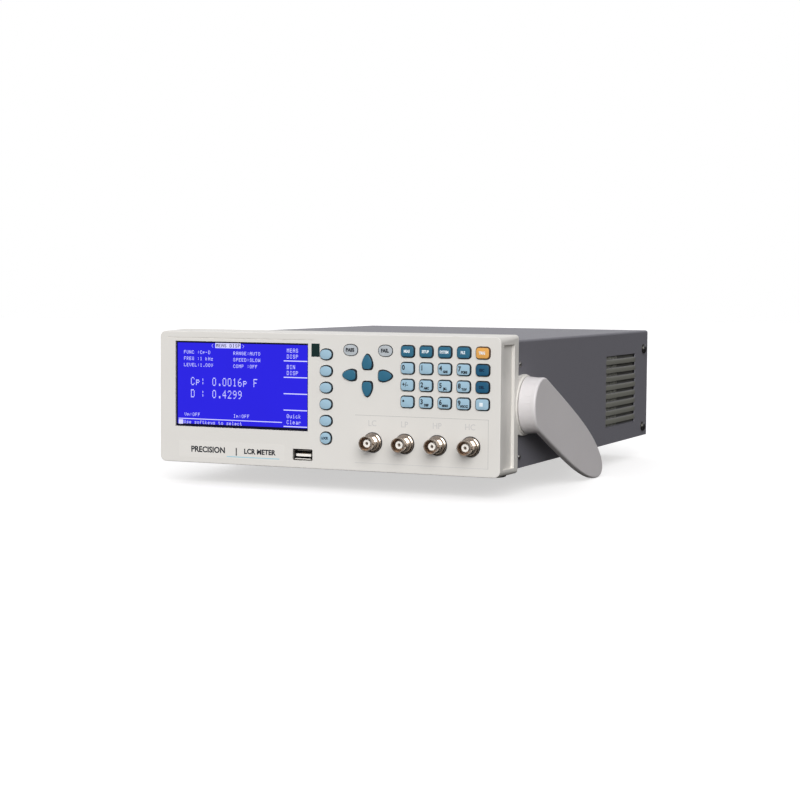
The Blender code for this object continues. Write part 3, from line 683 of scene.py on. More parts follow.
def cap_rings(outline, centre, proud, shoulder, dome, back):
    """Straight sides, rounded shoulder and domed top of a cap, from behind to the front."""
    rings = [facing(outline(0.0), y, centre) for y in (back, dome + shoulder - proud)]
    for c, s in quarter(5)[1:]:
        rings.append(facing(outline(-shoulder * (1 - c)), dome + shoulder * (1 - s) - proud, centre))
    for share in (0.75, 0.5, 0.25):
        rings.append(facing(scaled(outline(-shoulder), share), dome * share ** 2 - proud, centre))
    return rings


def key_rings(outline, centre):
    """Base with a ledge in painted shade, a dark copy of the key colour standing in for the shade in the slit
    and on the lower flank; then a narrower flank, the shoulder and the domed top.
    """
    shaded_skirt = ((0.0, PANEL_WALL), (0.0, -0.45), (-0.1, -0.6), (-KEY_LEDGE, -0.66), (-KEY_LEDGE, -1.0))
    flank = ((-KEY_LEDGE, KEY_DOME + KEY_SHOULDER - KEY_PROUD),)
    rings = [facing(outline(grow), y, centre) for grow, y in shaded_skirt + flank]
    for c, s in quarter(5)[1:]:
        inset = KEY_LEDGE + KEY_SHOULDER * (1 - c)
        rings.append(facing(outline(-inset), KEY_DOME + KEY_SHOULDER * (1 - s) - KEY_PROUD, centre))
    top = outline(-KEY_LEDGE - KEY_SHOULDER)
    for share in (0.8, 0.6, 0.4, 0.2):
        rings.append(facing(scaled(top, share), KEY_DOME * share ** 2 - KEY_PROUD, centre))
    shaded_bands = len(shaded_skirt) - 1
    return rings, [1] * shaded_bands + [0] * (len(rings) - 1 - shaded_bands)


def keys():
    caps = {}
    for name, outline, cap, shaded_skirt, slot in KEYS:
        rings, slots = key_rings(outline, centre_of(name))
        piece = bare(f"cap_{name}", [rings], slots)
        # The dark base colour of each cap is painted shade.
        caps[name] = dress(piece, [cap, shaded_skirt], name, [name], 50)
    return caps


def key_legends(caps):
    def write(name, text, height, shift, surface, wide=0.9, bold=0.12):
        key = f"key_{name}" if f"key_{name}" in caps else name
        x, z = centre_of(key)
        label = "".join(c if c.isalnum() else "_" for c in text)
        lettering(f"legend_{key}_{label}", text, height, (x + shift[0], 0.0, z + shift[1]),
                  surface, key, wide, caps[key], bold)
    for name in ("meas", "setup", "system", "file"):
        write(name, name.upper(), 1.9, (-0.2, 0.0), WHITE_INK, 0.72)
    write("trigger", "TRIG", 1.9, (-0.2, 0.0), WHITE_INK, 0.8)
    write("escape", "ESC", 1.8, (-0.2, 0.0), NAVY_INK)
    write("backspace", "DEL", 1.8, (-0.2, 0.0), NAVY_INK)
    for digit in "0123456789":
        write(digit, digit, 3.4, (-2.7, 0.4), DARK_INK, bold=0.16)
    for digit, text in KEY_LETTERS.items():
        write(digit, text, 1.6, (0.9, -1.8), DARK_INK, 0.85, 0.15)
    write("sign", "+/-", 3.0, (-1.3, 0.4), DARK_INK, 0.9)
    write("point", ".", 7.5, (-2.6, 3.4), DARK_INK, bold=0.2)
    write("lock_key", "LOCK", 1.7, (-0.2, 0.0), NAVY_INK, 0.8, 0.14)
    x, z = centre_of("key_enter")
    square = rectangle(-1.4, -1.3, 1.2, 1.3)
    mark = bare("legend_enter_mark", [slab(square, -KEY_PROUD - 0.02, -KEY_PROUD + 0.2, (x - 0.4, z))])
    dress(mark, [WHITE_INK], "key_enter")


def lamps():
    for name, text in LAMPS.items():
        x, z = centre_of(name)
        rings = cap_rings(oval_key(LAMP_SIZE), (x, z), LAMP_PROUD, 0.4, 0.15, PANEL_WALL)
        slots = [1] * 5 + [0] * (len(rings) - 6)
        piece = fixed(f"lens_{name}", [rings], [LENS, LENS_RIM], [name], 50, slots)
        lettering(f"legend_{name}", text, 2.5, (x - 0.4, 0.0, z), DARK_INK, "root",
                  0.9, piece, 0.18)


# ---------------------------------------------------------------- front bezel

def hole(outline, centre):
    return slab(outline, -2.0, PANEL_WALL + 2.0, centre)


def bezel():
    face_width, face_height = FACE_X[1] - FACE_X[0], FACE_Z[1] - FACE_Z[0]
    face_middle, rear_middle = (sum(FACE_X) / 2, sum(FACE_Z) / 2), (0.0, BEZEL_HEIGHT / 2)
    rings = []
    for c, s in quarter(4):
        inset = FACE_EDGE * (1 - s)
        outline = rounded(face_width - 2 * inset, face_height - 2 * inset, FACE_CORNER - inset, 12)
        rings.append(facing(outline, FACE_EDGE * (1 - c), face_middle))
    for inset, y in ((0.0, BEZEL_DEPTH - 0.5), (0.15, BEZEL_DEPTH - 0.15), (0.5, BEZEL_DEPTH)):
        outline = rounded(BEZEL_WIDTH - 2 * inset, BEZEL_HEIGHT - 2 * inset, BEZEL_CORNER - inset, 12)
        rings.append(facing(outline, y, rear_middle))
    piece = bare("bezel_shell", [rings])
    hinge = spot("pivot_screw_right")[2]
    axis = (hinge.y, hinge.z)
    ear = [(ear_outline(EAR_RADIUS - inset), x) for inset, x in
           ((0.0, 133.0), (0.0, BEZEL_HALF - 0.9), (0.2, BEZEL_HALF - 0.35), (0.5, BEZEL_HALF - 0.2))]
    ear += [(circle(EAR_PAD_RADIUS - inset, HUB_ROUND), x) for inset, x in
            ((0.3, BEZEL_HALF - 0.2), (0.3, EAR_OUTER_X - 0.3), (0.6, EAR_OUTER_X))]
    ears = [[across(outline, side * x, axis) for outline, x in ear] for side in (-1, 1)]
    combine(piece, ears, "UNION")
    inside = rectangle(-CAVITY[0], CAVITY[1], CAVITY[0], CAVITY[2])
    rebate = rectangle(-CASE_HALF - GAP, CASE_BOTTOM - GAP, CASE_HALF + GAP, CASE_TOP + GAP)
    step_y = BEZEL_DEPTH - REBATE_DEPTH
    room = stacked(((inside, PANEL_WALL), (inside, step_y), (rebate, step_y), (rebate, 90.0)))
    combine(piece, [room], "DIFFERENCE")
    openings = [(name, outline(KEY_SLIT)) for name, outline, *_ in KEYS]
    openings += [(name, oval(LAMP_SIZE[0] + 0.7, LAMP_SIZE[1] + 0.7)) for name in LAMPS]
    openings += [(name, circle(SOCKET_HOLE)) for name in SOCKETS]
    openings.append(("usb_socket", rounded(*USB_HOLE, 0.8)))
    cuts = [hole(outline, centre_of(name)) for name, outline in openings]
    low, high = display_window()
    cuts.append(hole(rectangle(low.x, low.z, high.x, high.z), (0.0, 0.0)))
    recess = rectangle(RECESS_Y[0], RECESS_Z[0], RECESS_Y[1], RECESS_Z[1])
    for side in (-1, 1):
        cuts.append(wall(recess, side * (BEZEL_HALF - RECESS_DEPTH), side * (BEZEL_HALF + 5)))
        cuts.append(wall(circle(SPIGOT_RADIUS + GAP), side * 130.0, side * 141.0, axis))
    cuts.append(slab(rectangle(*GROOVE), -1.0, 0.4))
    combine(piece, cuts, "DIFFERENCE")
    soften(piece, 0.18)
    return dress(piece, [BEZEL], "root", ["front_bezel"], 50)


def display_window():
    """Lowest and highest corners of the window opening."""
    low, high = spot("display_window")[:2]
    lip = Vector((WINDOW_LIP, 0, WINDOW_LIP))
    return low + lip, high - lip


# ---------------------------------------------------------------- display

GLYPHS = {
    "A": ".###. #...# #...# ##### #...# #...# #...#", "B": "####. #...# #...# ####. #...# #...# ####.",
    "C": ".###. #...# #.... #.... #.... #...# .###.", "D": "####. #...# #...# #...# #...# #...# ####.",
    "E": "##### #.... #.... ####. #.... #.... #####", "F": "##### #.... #.... ####. #.... #.... #....",
    "G": ".###. #...# #.... #.### #...# #...# .###.", "H": "#...# #...# #...# ##### #...# #...# #...#",
    "I": ".###. ..#.. ..#.. ..#.. ..#.. ..#.. .###.", "L": "#.... #.... #.... #.... #.... #.... #####",
    "M": "#...# ##.## #.#.# #.#.# #...# #...# #...#", "N": "#...# ##..# ##..# #.#.# #..## #..## #...#",
    "O": ".###. #...# #...# #...# #...# #...# .###.", "P": "####. #...# #...# ####. #.... #.... #....",
    "Q": ".###. #...# #...# #...# #.#.# #..#. .##.#", "R": "####. #...# #...# ####. #.#.. #..#. #...#",
    "S": ".###. #...# #.... .###. ....# #...# .###.", "T": "##### ..#.. ..#.. ..#.. ..#.. ..#.. ..#..",
    "U": "#...# #...# #...# #...# #...# #...# .###.", "V": "#...# #...# #...# #...# #...# .#.#. ..#..",
    "W": "#...# #...# #...# #.#.# #.#.# ##.## #...#", "a": "..... ..... .###. ....# .#### #...# .####",
    "c": "..... ..... .###. #.... #.... #...# .###.", "e": "..... ..... .###. #...# ##### #.... .###.",
    "f": "..##. .#..# .#... ###.. .#... .#... .#...", "i": "..#.. ..... .##.. ..#.. ..#.. ..#.. .###.",
    "k": "#.... #.... #..#. #.#.. ##... #.#.. #..#.", "l": ".##.. ..#.. ..#.. ..#.. ..#.. ..#.. .###.",
    "m": "..... ..... ##.#. #.#.# #.#.# #...# #...#", "o": "..... ..... .###. #...# #...# #...# .###.",
    "p": "..... ..... ####. #...# ####. #.... #....", "r": "..... ..... #.##. ##..# #.... #.... #....",
    "s": "..... ..... .#### #.... .###. ....# ####.", "t": ".#... .#... ###.. .#... .#... .#..# ..##.",
    "u": "..... ..... #...# #...# #...# #..## .##.#", "y": "..... ..... #...# #...# .#### ....# .###.",
    "z": "..... ..... ##### ...#. ..#.. .#... #####", "0": ".###. #...# #...# #...# #...# #...# .###.",
    "1": "..#.. .##.. ..#.. ..#.. ..#.. ..#.. .###.", "2": ".###. #...# ....# ...#. ..#.. .#... #####",
    "4": "...#. ..##. .#.#. #..#. ##### ...#. ...#.", "6": "..##. .#... #.... ####. #...# #...# .###.",
    "9": ".###. #...# #...# .#### ....# ...#. .##..", ":": "..... ..#.. ..#.. ..... ..#.. ..#.. .....",
    ".": "..... ..... ..... ..... ..... ..##. ..##.", "-": "..... ..... ..... ####. ..... ..... .....",
    "<": "...#. ..#.. .#... #.... .#... ..#.. ...#.", ">": ".#... ..#.. ...#. ....# ...#. ..#.. .#...",
}


def screen():
    """Dark glass, the lit field, and the readout as separate dots, all facing the front."""
    low, high = display_window()
    left, top = low.x, high.z
    width, height = high.x - low.x, high.z - low.z
    middle = ((low.x + high.x) / 2, (low.z + high.z) / 2)
    half_u, half_v = width / 2 - GAP, height / 2 - GAP
    glass = slab(rectangle(-half_u, -half_v, half_u, half_v), WINDOW_RECESS, PANEL_WALL + GAP, middle)
    fixed("screen_glass", [glass], [BORDER], ["display_window"])

    def plate(name, corners, y, surface):
        """Thin plate from left, top, right and bottom distances inside the window."""
        outline = rectangle(left + corners[0], top - corners[3], left + corners[2], top - corners[1])
        fixed(name, [slab(outline, y, y + 0.05)], [surface])
    lit = (LCD_MARGIN[0], LCD_MARGIN[1], width - LCD_MARGIN[2], height - LCD_MARGIN[3])
    plate("screen_field", lit, WINDOW_RECESS - 0.04, SCREEN)
    plate("screen_title_bar", TITLE_BAR, WINDOW_RECESS - 0.08, LIT)

    bm, dark = bmesh.new(), bmesh.new()
    front = WINDOW_RECESS - 0.1

    def bar(target, x, z, wide, deep):
        """Lit rectangle from its upper left corner."""
        ring = [target.verts.new(world(left + x + u, front, top - z - v)) for u, v in
                ((0, 0), (0, deep), (wide, deep), (wide, 0))]
        target.faces.new(ring)

    def write(text, x, z, dot, pitch=7.0, target=bm, fill=0.95):
        """Line of text in dots, letters pitch dots apart."""
        for column, letter in enumerate(text):
            for row, dots in enumerate(GLYPHS.get(letter, "").split()):
                for i, mark in enumerate(dots):
                    if mark == "#":
                        bar(target, x + (column * pitch + i) * dot[0], z + row * dot[1],
                            dot[0] * fill, dot[1] * min(1.0, fill + 0.02))
    write("<", 30.7, 2.0, SMALL_DOT)
    write(">", 56.6, 2.0, SMALL_DOT)
    write("MEAS DISP", 34.5, 1.75, SMALL_DOT, target=dark, fill=1.5)
    for i, text in enumerate(("FUNC :Cp-D", "FREQ :1 kHz", "LEVEL:1.00V")):
        write(text, 7.1, 7.0 + i * LINE_PITCH, SMALL_DOT)
    for i, text in enumerate(("RANGE:AUTO", "SPEED:SLOW", "COMP :OFF")):
        write(text, 49.2, 7.2 + i * LINE_PITCH, SMALL_DOT)
    for i, (first, second) in enumerate(MENU):
        write(first, 93.8, 4.0 + i * MENU_PITCH, MENU_DOT)
        write(second, 93.8, 8.4 + i * MENU_PITCH, MENU_DOT)
        bar(bm, 91.2, 12.75 + i * MENU_PITCH, 19.4, 0.7)
    for z, label, value in ((27.1, "Cp:", "0.0016p F"), (36.3, "D :", "0.4299")):
        write(label, 13.1, z, LARGE_DOT, fill=0.84)
        write(value, 31.5, z, LARGE_DOT, fill=0.84)
    write("Vm:OFF", 7.6, 53.8, SMALL_DOT)
    write("Im:OFF", 49.4, 53.8, SMALL_DOT)
    bar(bm, 2.4, 58.1, 87.4, 0.6)
    bar(bm, 2.4, 59.2, 3.9, 3.3)
    write("Use softkeys to select", 7.0, 59.5, SMALL_DOT, 6.9)
    for name, made, surface in (("screen_readout", bm, LIT), ("screen_title", dark, UNLIT)):
        dress(from_bmesh(name, made), [surface], "root")


# ---------------------------------------------------------------- printing on the panel, and the socket frame in painted shade

def panel_print():
    def patch(name, x0, z0, x1, z1, surface, thick=0.03):
        fixed(name, [slab(rectangle(x0, z0, x1, z1), -thick, 0.02)], [surface])
    line = 0.3
    left, low, right, high = SOCKET_FRAME
    # The frame round the sockets is an embossed line drawn as ink: darker on the top and right and paler
    # along the bottom, as painted shade.
    patch("frame_painted_shade_top", left, high - line, right, high, FRAME_SHADE_INK)
    patch("frame_painted_shade_right", right - line, low, right, high - line, FRAME_SHADE_INK)
    patch("frame_painted_shade_bottom", left, low, right - line, low + line, PALE_INK)
    for name, text in zip(SOCKETS, ("LC", "LP", "HP", "HC")):
        x, z = centre_of(name)
        lettering(f"print_{name}", text, 4.2, (x - 0.5, 0.0, z + 13.6), PALE_INK, "root",
                  0.95, bold=0.06)
    patch("name_strip", -121.0, 3.6, -32.0, 16.0, STRIP, 0.05)
    for name, text, height, x in (("grade", "PRECISION", 4.2, -96.0), ("divider", "|", 4.2, -72.0),
                                  ("name", "LCR METER", 3.6, -52.5)):
        lettering(f"print_{name}", text, height, (x, -0.05, 9.6), DARK_INK, "root",
                  1.0, bold=0.2)
    patch("print_name_line", -80.0, 5.0, -36.0, 5.7, BLUE_INK, 0.08)
    patch("green_tag", -10.0, 81.3, -3.4, 90.9, GREEN_TAG, 0.12)


# ---------------------------------------------------------------- front sockets

def test_sockets():
    """BNC terminals: dark washer, domed flange, ribbed neck, barrel with lugs, white insulator."""
    washer = [(5.0, -0.05), (7.4, -0.05), (7.4, -0.6), (7.15, -0.8), (5.0, -0.8)]
    shell = [(4.0, 13.9), (4.0, 6.2), (8.0, 6.2), (8.0, 3.4), (5.8, 3.4), (5.8, -0.8), (6.9, -0.8),
             (6.9, -1.3), (6.75, -1.55), (6.2, -1.75), (5.9, -1.9), (5.7, -2.3), (5.6, -3.4)]
    for rib in range(5):
        y = -3.5 - rib * 0.85
        shell += [(5.0, y), (SOCKET_BARREL, y - 0.22), (SOCKET_BARREL, y - 0.5), (5.0, y - 0.74)]
    shell += [(4.95, -7.8), (4.95, -12.0), (SOCKET_BARREL - 0.08, -12.15), (SOCKET_BARREL, -12.4),
              (SOCKET_BARREL - 0.04, -12.85), (SOCKET_BARREL - 0.18, -SOCKET_REACH),
              (4.9, -SOCKET_REACH), (4.75, -12.85), (4.7, -12.4), (4.6, -4.6), (2.9, -4.6)]
    insulator = [(2.9, -4.7), (2.9, -10.3), (2.7, -10.6), (1.25, -10.6), (1.15, -10.4), (1.15, -5.0)]
    contact = [(1.05, -5.0), (1.05, -9.7), (0.9, -9.9), (0.55, -9.9), (0.55, -5.6)]
    lug = ((1.1, 4.8), (1.1, 6.05), (0.8, 6.28))
    for name in SOCKETS:
        centre = centre_of(name)
        fixed(f"{name}_washer", [turned(washer, centre, 64)], [BLACK])
        # The last three bands, the inside of the barrel, are painted shade in the darker copy of the nickel.
        body = bare(f"{name}_shell", [turned(shell, centre, 64)], [0] * (len(shell) - 4) + [1, 1, 1])
        lugs = [[across(circle(radius, 20), side * x + centre[0], (-10.4, centre[1])) for radius, x in lug]
                for side in (-1, 1)]
        combine(body, lugs, "UNION")
        dress(body, [NICKEL, BORE_SHADE], "root", [name], 40)
        fixed(f"{name}_insulator", [turned(insulator, centre, 40)], [WHITE_PLASTIC], angle=40)
        # The centre contact is painted in the shaded copy of the nickel.
        fixed(f"{name}_contact", [turned(contact, centre, 24)], [BORE_SHADE], angle=40)


def usb_socket():
    """Dark shell with a flared mouth lined in painted shade, a white strip in its lower lip as a painted
    highlight, white tongue and four contacts.
    """
    x, z = centre_of("usb_socket")
    outer, mouth = rounded(15.2, 7.4, 0.9), rounded(13.8, 5.4, 0.5)
    levels = ((outer, 15.0), (outer, 0.5), (rounded(14.9, 7.1, 0.8), 0.25), (mouth, 1.5), (mouth, 12.0))
    # The mouth's inner walls are painted shade in near-black.
    fixed("usb_shell", [stacked(levels, (x, z))], [DARK_ZINC, CAVITY_SHADE, STEEL],
          ["usb_socket"], 40, [0, 0, 2, 1])
    tongue = bare("usb_tongue", [box_rings((x - 5.9, 1.4, z - 1.35), (x + 6.1, 12.0, z + 0.55))])
    soften(tongue, 0.2)
    dress(tongue, [WHITE_PLASTIC], "root")
    # A white strip set into the lower lip is a painted highlight of the light caught there.
    fixed("usb_lip_painted_highlight", [box_rings((x - 6.3, 0.75, z - 3.3), (x + 6.3, 2.2, z - 2.8))], [WHITE_PLASTIC])
    for i in range(4):
        u = x + (i - 1.5) * 2.3
        contact = box_rings((u - 0.5, 1.8, z + 0.5), (u + 0.5, 9.0, z + 0.64))
        fixed(f"usb_contact_{i + 1}", [contact], [GOLD])


# ---------------------------------------------------------------- case

def cover_profile(steps=8):
    """Inverted U of sheet: up one side, over the top, down the other, and back inside."""
    def half_loop(half, top, radius):
        return [(half, CASE_BOTTOM)] + [(half - radius * (1 - c), top - radius * (1 - s))
                                        for c, s in quarter(steps)]
    outer = half_loop(CASE_HALF, CASE_TOP, FOLD_RADIUS)
    inner = half_loop(CASE_HALF - SHEET, CASE_TOP - SHEET, FOLD_RADIUS - SHEET)
    loop = outer + [(-u, v) for u, v in reversed(outer)]
    return loop + [(-u, v) for u, v in inner] + inner[::-1]


def louvre(side, z):
    """Pressed lip above a slot: leans out towards its lower edge and closes at both ends."""
    low = z + SLOT_HEIGHT / 2 + 0.1
    reach = SLOT_PITCH - SLOT_HEIGHT - 0.3
    rings = []
    for i in range(13):
        run = i / 12
        y = SLOT_FRONT - 0.6 + run * (SLOT_REAR - SLOT_FRONT + 1.2)
        edge = min(1.0, 12 * min(run, 1 - run))
        bulge = LOUVRE_BULGE * math.sqrt(max(0.0, edge * (2 - edge)))
        ring = [(side * (CASE_HALF - 0.9), y, low), (side * (CASE_HALF - 0.9), y, low + reach)]
        for c, s in quarter(6):
            ring.append((side * (CASE_HALF - 0.05 + bulge * s), y, low + reach * c))
        rings.append(ring)
    return rings


def case():
    """Cover with its slots, louvres, and the screen and filter behind them; chassis and rear panel."""
    front = BEZEL_DEPTH - REBATE_DEPTH + GAP
    shell = bare("case_cover", [slab(cover_profile(), front, CASE_REAR)])
    cuts, lips, bars, backs = [], [], [], []
    hinge = spot("pivot_screw_right")[2]
    inner = CASE_HALF - SHEET - 0.4
    for side in (-1, 1):
        near, far = side * (CASE_HALF - SHEET - 2.0), side * (CASE_HALF + 2.0)
        for i in range(SLOT_COUNT):
            z = SLOT_TOP_Z - i * SLOT_PITCH
            slot = rectangle(SLOT_FRONT, z - SLOT_HEIGHT / 2, SLOT_REAR, z + SLOT_HEIGHT / 2)
            cuts.append(wall(slot, near, far))
            if i:
                lips.append(louvre(side, z))
        cuts.append(wall(circle(SPIGOT_RADIUS + GAP), near, far, (hinge.y, hinge.z)))
        for i in range(BAR_COUNT):
            y = SLOT_FRONT + 1.0 + i * 4.0
            bars.append(wall(rectangle(y, 14.0, y + 1.7, 78.0), side * (inner - 0.5), side * inner))
        back = rectangle(SLOT_FRONT - 6, 12.0, SLOT_REAR + 6, 80.0)
        backs.append(wall(back, side * (inner - 1.4), side * (inner - 0.9)))
    combine(shell, cuts, "DIFFERENCE")
    soften(shell, 0.2)
    dress(shell, [PAINT], "root", ["cover"], 40)
    fixed("case_louvres", lips, [LOUVRE], angle=60)
    fixed("vent_screen", bars, [VENT_BARS])
    fixed("vent_filter", backs, [VENT_BACK])
    repaint("base_chassis", PAINT)
    repaint("rear_panel", PAINT)


def cross_head(name, centre, radius, height, surface, axis, sign=1):
    """Pan-head screw with a cross recess that faces along the layout's X or Y axis."""
    profile = [(radius * 0.5, -1.0), (radius * 0.5, 0.0), (radius, 0.0)]
    for c, s in quarter(6):
        profile.append((radius - 0.55 * radius * (1 - c), height * (0.35 + 0.65 * s)))

    def stack(levels):
        """Rings of (u, v) outlines at heights out along the axis."""
        if axis == "X":
            return [[(centre[0] + sign * out, centre[1] + u, centre[2] + v) for u, v in outline]
                    for outline, out in levels]
        return [[(centre[0] + u, centre[1] + sign * out, centre[2] + v) for u, v in outline]
                for outline, out in levels]
    head = bare(name, [stack([(circle(r, 32), out) for r, out in profile])])
    arm, slit = radius * 0.52, radius * 0.12
    for half_u, half_v in ((arm, slit), (slit, arm)):
        bar = rectangle(-half_u, -half_v, half_u, half_v)
        combine(head, [stack([(bar, height * 0.45), (bar, height + 1.0)])], "DIFFERENCE")
    return dress(head, [surface], "root", angle=40)


def side_screws():
    for side, name in ((1, "right"), (-1, "left")):
        low, high, middle = spot(f"cover_screws_{name}")
        face = side * (CASE_HALF + 0.02)
        for z, label in ((low.z + 4.0, "low"), (high.z - 4.0, "high")):
            cross_head(f"side_screw_{name}_{label}", (face, middle.y, z), SCREW_RADIUS, SCREW_HEIGHT,
                       DARK_ZINC, "X", side)
        for z, label in ((10.9, "low"), (77.7, "high")):
            cross_head(f"front_screw_{name}_{label}", (face, 44.6, z), 1.9, 1.0, STEEL, "X", side)
        repaint(f"cover_screws_{name}", ZINC)


def feet():
    for node in ("foot_front_right", "foot_front_left", "foot_rear_right", "foot_rear_left"):
        low, high, middle = spot(node)
        centre = (middle.x, middle.y)
        radius = (high.x - low.x) / 2
        profile = [(radius - 0.9, high.z), (radius - 0.2, high.z - 0.4), (radius, high.z - 1.2),
                   (radius - 0.6, low.z + 4.0), (radius - 1.0, low.z + 1.4), (radius - 1.6, low.z + 0.4),
                   (radius - 2.6, low.z), (4.4, low.z), (4.0, low.z + 0.5), (4.0, low.z + 5.0)]
        rings = [level(circle(r, 64), z, centre) for r, z in profile]
        fixed(f"pad_{node}", [rings], [RUBBER], [node], 40)


# ---------------------------------------------------------------- swing arms

def swing_arms():
    hub = [(2.9, HUB_SEAM_X + 1.5), (2.9, 131.5), (SPIGOT_RADIUS, 131.5), (SPIGOT_RADIUS, HUB_SEAM_X),
           (HUB_SEAM_RADIUS - 0.4, HUB_SEAM_X), (HUB_SEAM_RADIUS, HUB_SEAM_X + 0.4),
           (HUB_TOP_RADIUS, ARM_INNER_X + 1.0)]
    edge = [(0.9, ARM_INNER_X), (0.25, ARM_INNER_X + 0.3), (0.0, ARM_INNER_X + 0.9)]
    edge += [(ARM_ROUND * (1 - c), ARM_OUTER_X - ARM_ROUND * (1 - s)) for c, s in quarter(5)]
    for side, name in ((1, "right"), (-1, "left")):
        hinge = spot(f"pivot_screw_{name}")[2]
        axis = (hinge.y, hinge.z)
        piece = bare(f"swing_arm_{name}", [[across(circle(r, HUB_ROUND), side * x, axis) for r, x in hub]])
        combine(piece, [[across(arm_outline(inset), side * x, axis) for inset, x in edge]], "UNION")
        dress(piece, [ARM], f"arm_{name}", [f"arm_{name}"], 40)
        repaint(f"pivot_screw_{name}", ZINC)


# ---------------------------------------------------------------- rear panel and inside

def power_module():
    """Flanged mains housing with three blades and two screws."""
    low, high, middle = spot("power_inlet")
    face = high.y
    centre = (middle.x, middle.z)
    body, flange, lip = rounded(54.0, 28.0, 0.8), rounded(58.0, 32.0, 2.2, 8), rounded(57.2, 31.2, 1.8, 8)
    levels = ((body, low.y), (body, face - 2.0), (flange, face - 2.0), (flange, face - 0.5), (lip, face))
    housing = bare("mains_housing", [stacked(levels, centre)])
    wells = ((rounded(24.5, 16.5, 2.8, 8), INLET_X, 16.0), (rounded(12.4, 23.0, 0.6), ROCKER_X, 11.0))
    cuts = [slab(outline, face - depth, face + 2.0, (x, middle.z)) for outline, x, depth in wells]
    combine(housing, cuts, "DIFFERENCE")
    soften(housing, 0.25)
    dress(housing, [BLACK], "root", ["power_inlet"], 40)
    blade = ((2.0, 4.0, 16.2), (2.0, 4.0, 3.6), (1.3, 3.2, 3.0))
    blades = [[facing(rounded(w, h, 0.3, 3), face - y, (INLET_X + u, middle.z + v)) for w, h, y in blade]
              for u, v in ((-7.0, -2.0), (0.0, 3.0), (7.0, -2.0))]
    fixed("mains_blades", blades, [GOLD])
    for i, x in enumerate((middle.x - 26.6, middle.x + 26.6)):
        cross_head(f"mains_screw_{i + 1}", (x, face, middle.z), 1.9, 0.9, STEEL, "Y")


def rocker():
    """Tilted rocker: a hollow front between two raised ends, narrow behind."""
    low, high, middle = spot("power_rocker")
    half = (high.x - low.x) / 2
    upper = [(2.5 + 1.4 * (i / 8) ** 2, 9.9 * (i / 8)) for i in range(8)]
    upper += [(3.8, 9.7), (3.2, 10.0), (-1.0, 9.4), (-4.0, 5.0)]
    outline = rotated(upper + [(-4.6, 0.0)] + [(u, -v) for u, v in reversed(upper[1:])], -ROCKER_TILT)
    cap = bare("rocker_cap", [wall(outline, middle.x - half, middle.x + half, (ROCKER_AXIS_Y, middle.z))])
    soften(cap, 0.3)
    dress(cap, [BLACK], "power_rocker", ["power_rocker"], 40)


def d_shape(width, height, corner=1.4, slope=1.1):
    """Round-cornered D outline, wide side up."""
    return [(u * (1 - slope / width * (1 - 2 * v / height)), v) for u, v in rounded(width, height, corner, 5)]


def serial_port():
    """Nine-way connector: plated flange and D shell, dark insert, gold pins and two hexagon posts."""
    low, high, middle = spot("serial_port")
    centre, tip = (middle.x, middle.z), high.y
    flange_back, flange_face = tip - 6.2, tip - 5.2
    body, shell, mouth = d_shape(20.0, 10.4), d_shape(17.0, 8.4), d_shape(16.2, 7.6)
    flange = rounded(31.0, 12.6, 1.6, 6)
    levels = ((body, low.y), (body, flange_back), (flange, flange_back), (flange, flange_face),
              (shell, flange_face), (shell, tip - 0.2), (mouth, tip), (mouth, tip - 5.4))
    fixed("serial_shell", [stacked(levels, centre)], [NICKEL], ["serial_port"], 40)
    fixed("serial_insert", [slab(d_shape(16.0, 7.4), tip - 5.6, tip - 4.4, centre)], [BLACK])
    pin = [(0.45, tip - 4.8), (0.45, tip - 1.0), (0.25, tip - 0.7)]
    pins = []
    for count, v in ((5, 1.4), (4, -1.4)):
        for i in range(count):
            u = (i - (count - 1) / 2) * 2.77
            pins.append(turned(pin, (centre[0] + u, centre[1] + v), 12))
    fixed("serial_pins", pins, [GOLD])
    post = [(2.7, flange_face - 0.05), (2.7, tip - 0.4), (2.4, tip), (1.3, tip), (1.3, tip - 3.0)]
    for i, u in enumerate((-12.5, 12.5)):
        rings = turned(post, (centre[0] + u, centre[1]), 6)
        fixed(f"serial_post_{i + 1}", [rings], [STEEL], angle=30)


def earth_terminal():
    """Stud and collar with a knurled thumb nut."""
    low, high, middle = spot("earth_terminal")
    tip, start = high.y, high.y - 12.5
    centre = (middle.x, middle.z)
    profile = [(2.5, low.y), (2.5, low.y + 2.0), (5.5, low.y + 2.0), (5.5, start - 2.1), (2.9, start - 2.1)]
    profile += [(2.9, start), (5.8, start), (6.0, start + 0.2), (6.0, start + 1.6), (5.8, start + 1.8)]
    profile.append((2.6, start + 1.8))
    for i in range(6):
        y = start + 2.0 + i * 0.5
        profile += [(2.6, y), (2.3, y + 0.25)]
    profile += [(2.6, start + 5.2), (2.6, tip - 0.3), (2.0, tip)]
    fixed("earth_stud", [turned(profile, centre)], [NICKEL], ["earth_terminal"], 40)

    def knurled(radius, depth):
        """Circle whose every other point lies deeper by a share of the radius."""
        points = circle(radius, 72)
        return [(u * (1 - depth * (i % 2)), v * (1 - depth * (i % 2))) for i, (u, v) in enumerate(points)]
    nut = ((4.6, 0.0, start + 5.0), (5.2, 0.035, start + 5.5), (5.2, 0.035, tip - 1.1), (4.4, 0.0, tip - 0.5),
           (2.5, 0.0, tip - 0.5))
    rings = [facing(knurled(radius, depth), y, centre) for radius, depth, y in nut]
    fixed("earth_nut", [rings], [NICKEL], angle=20)


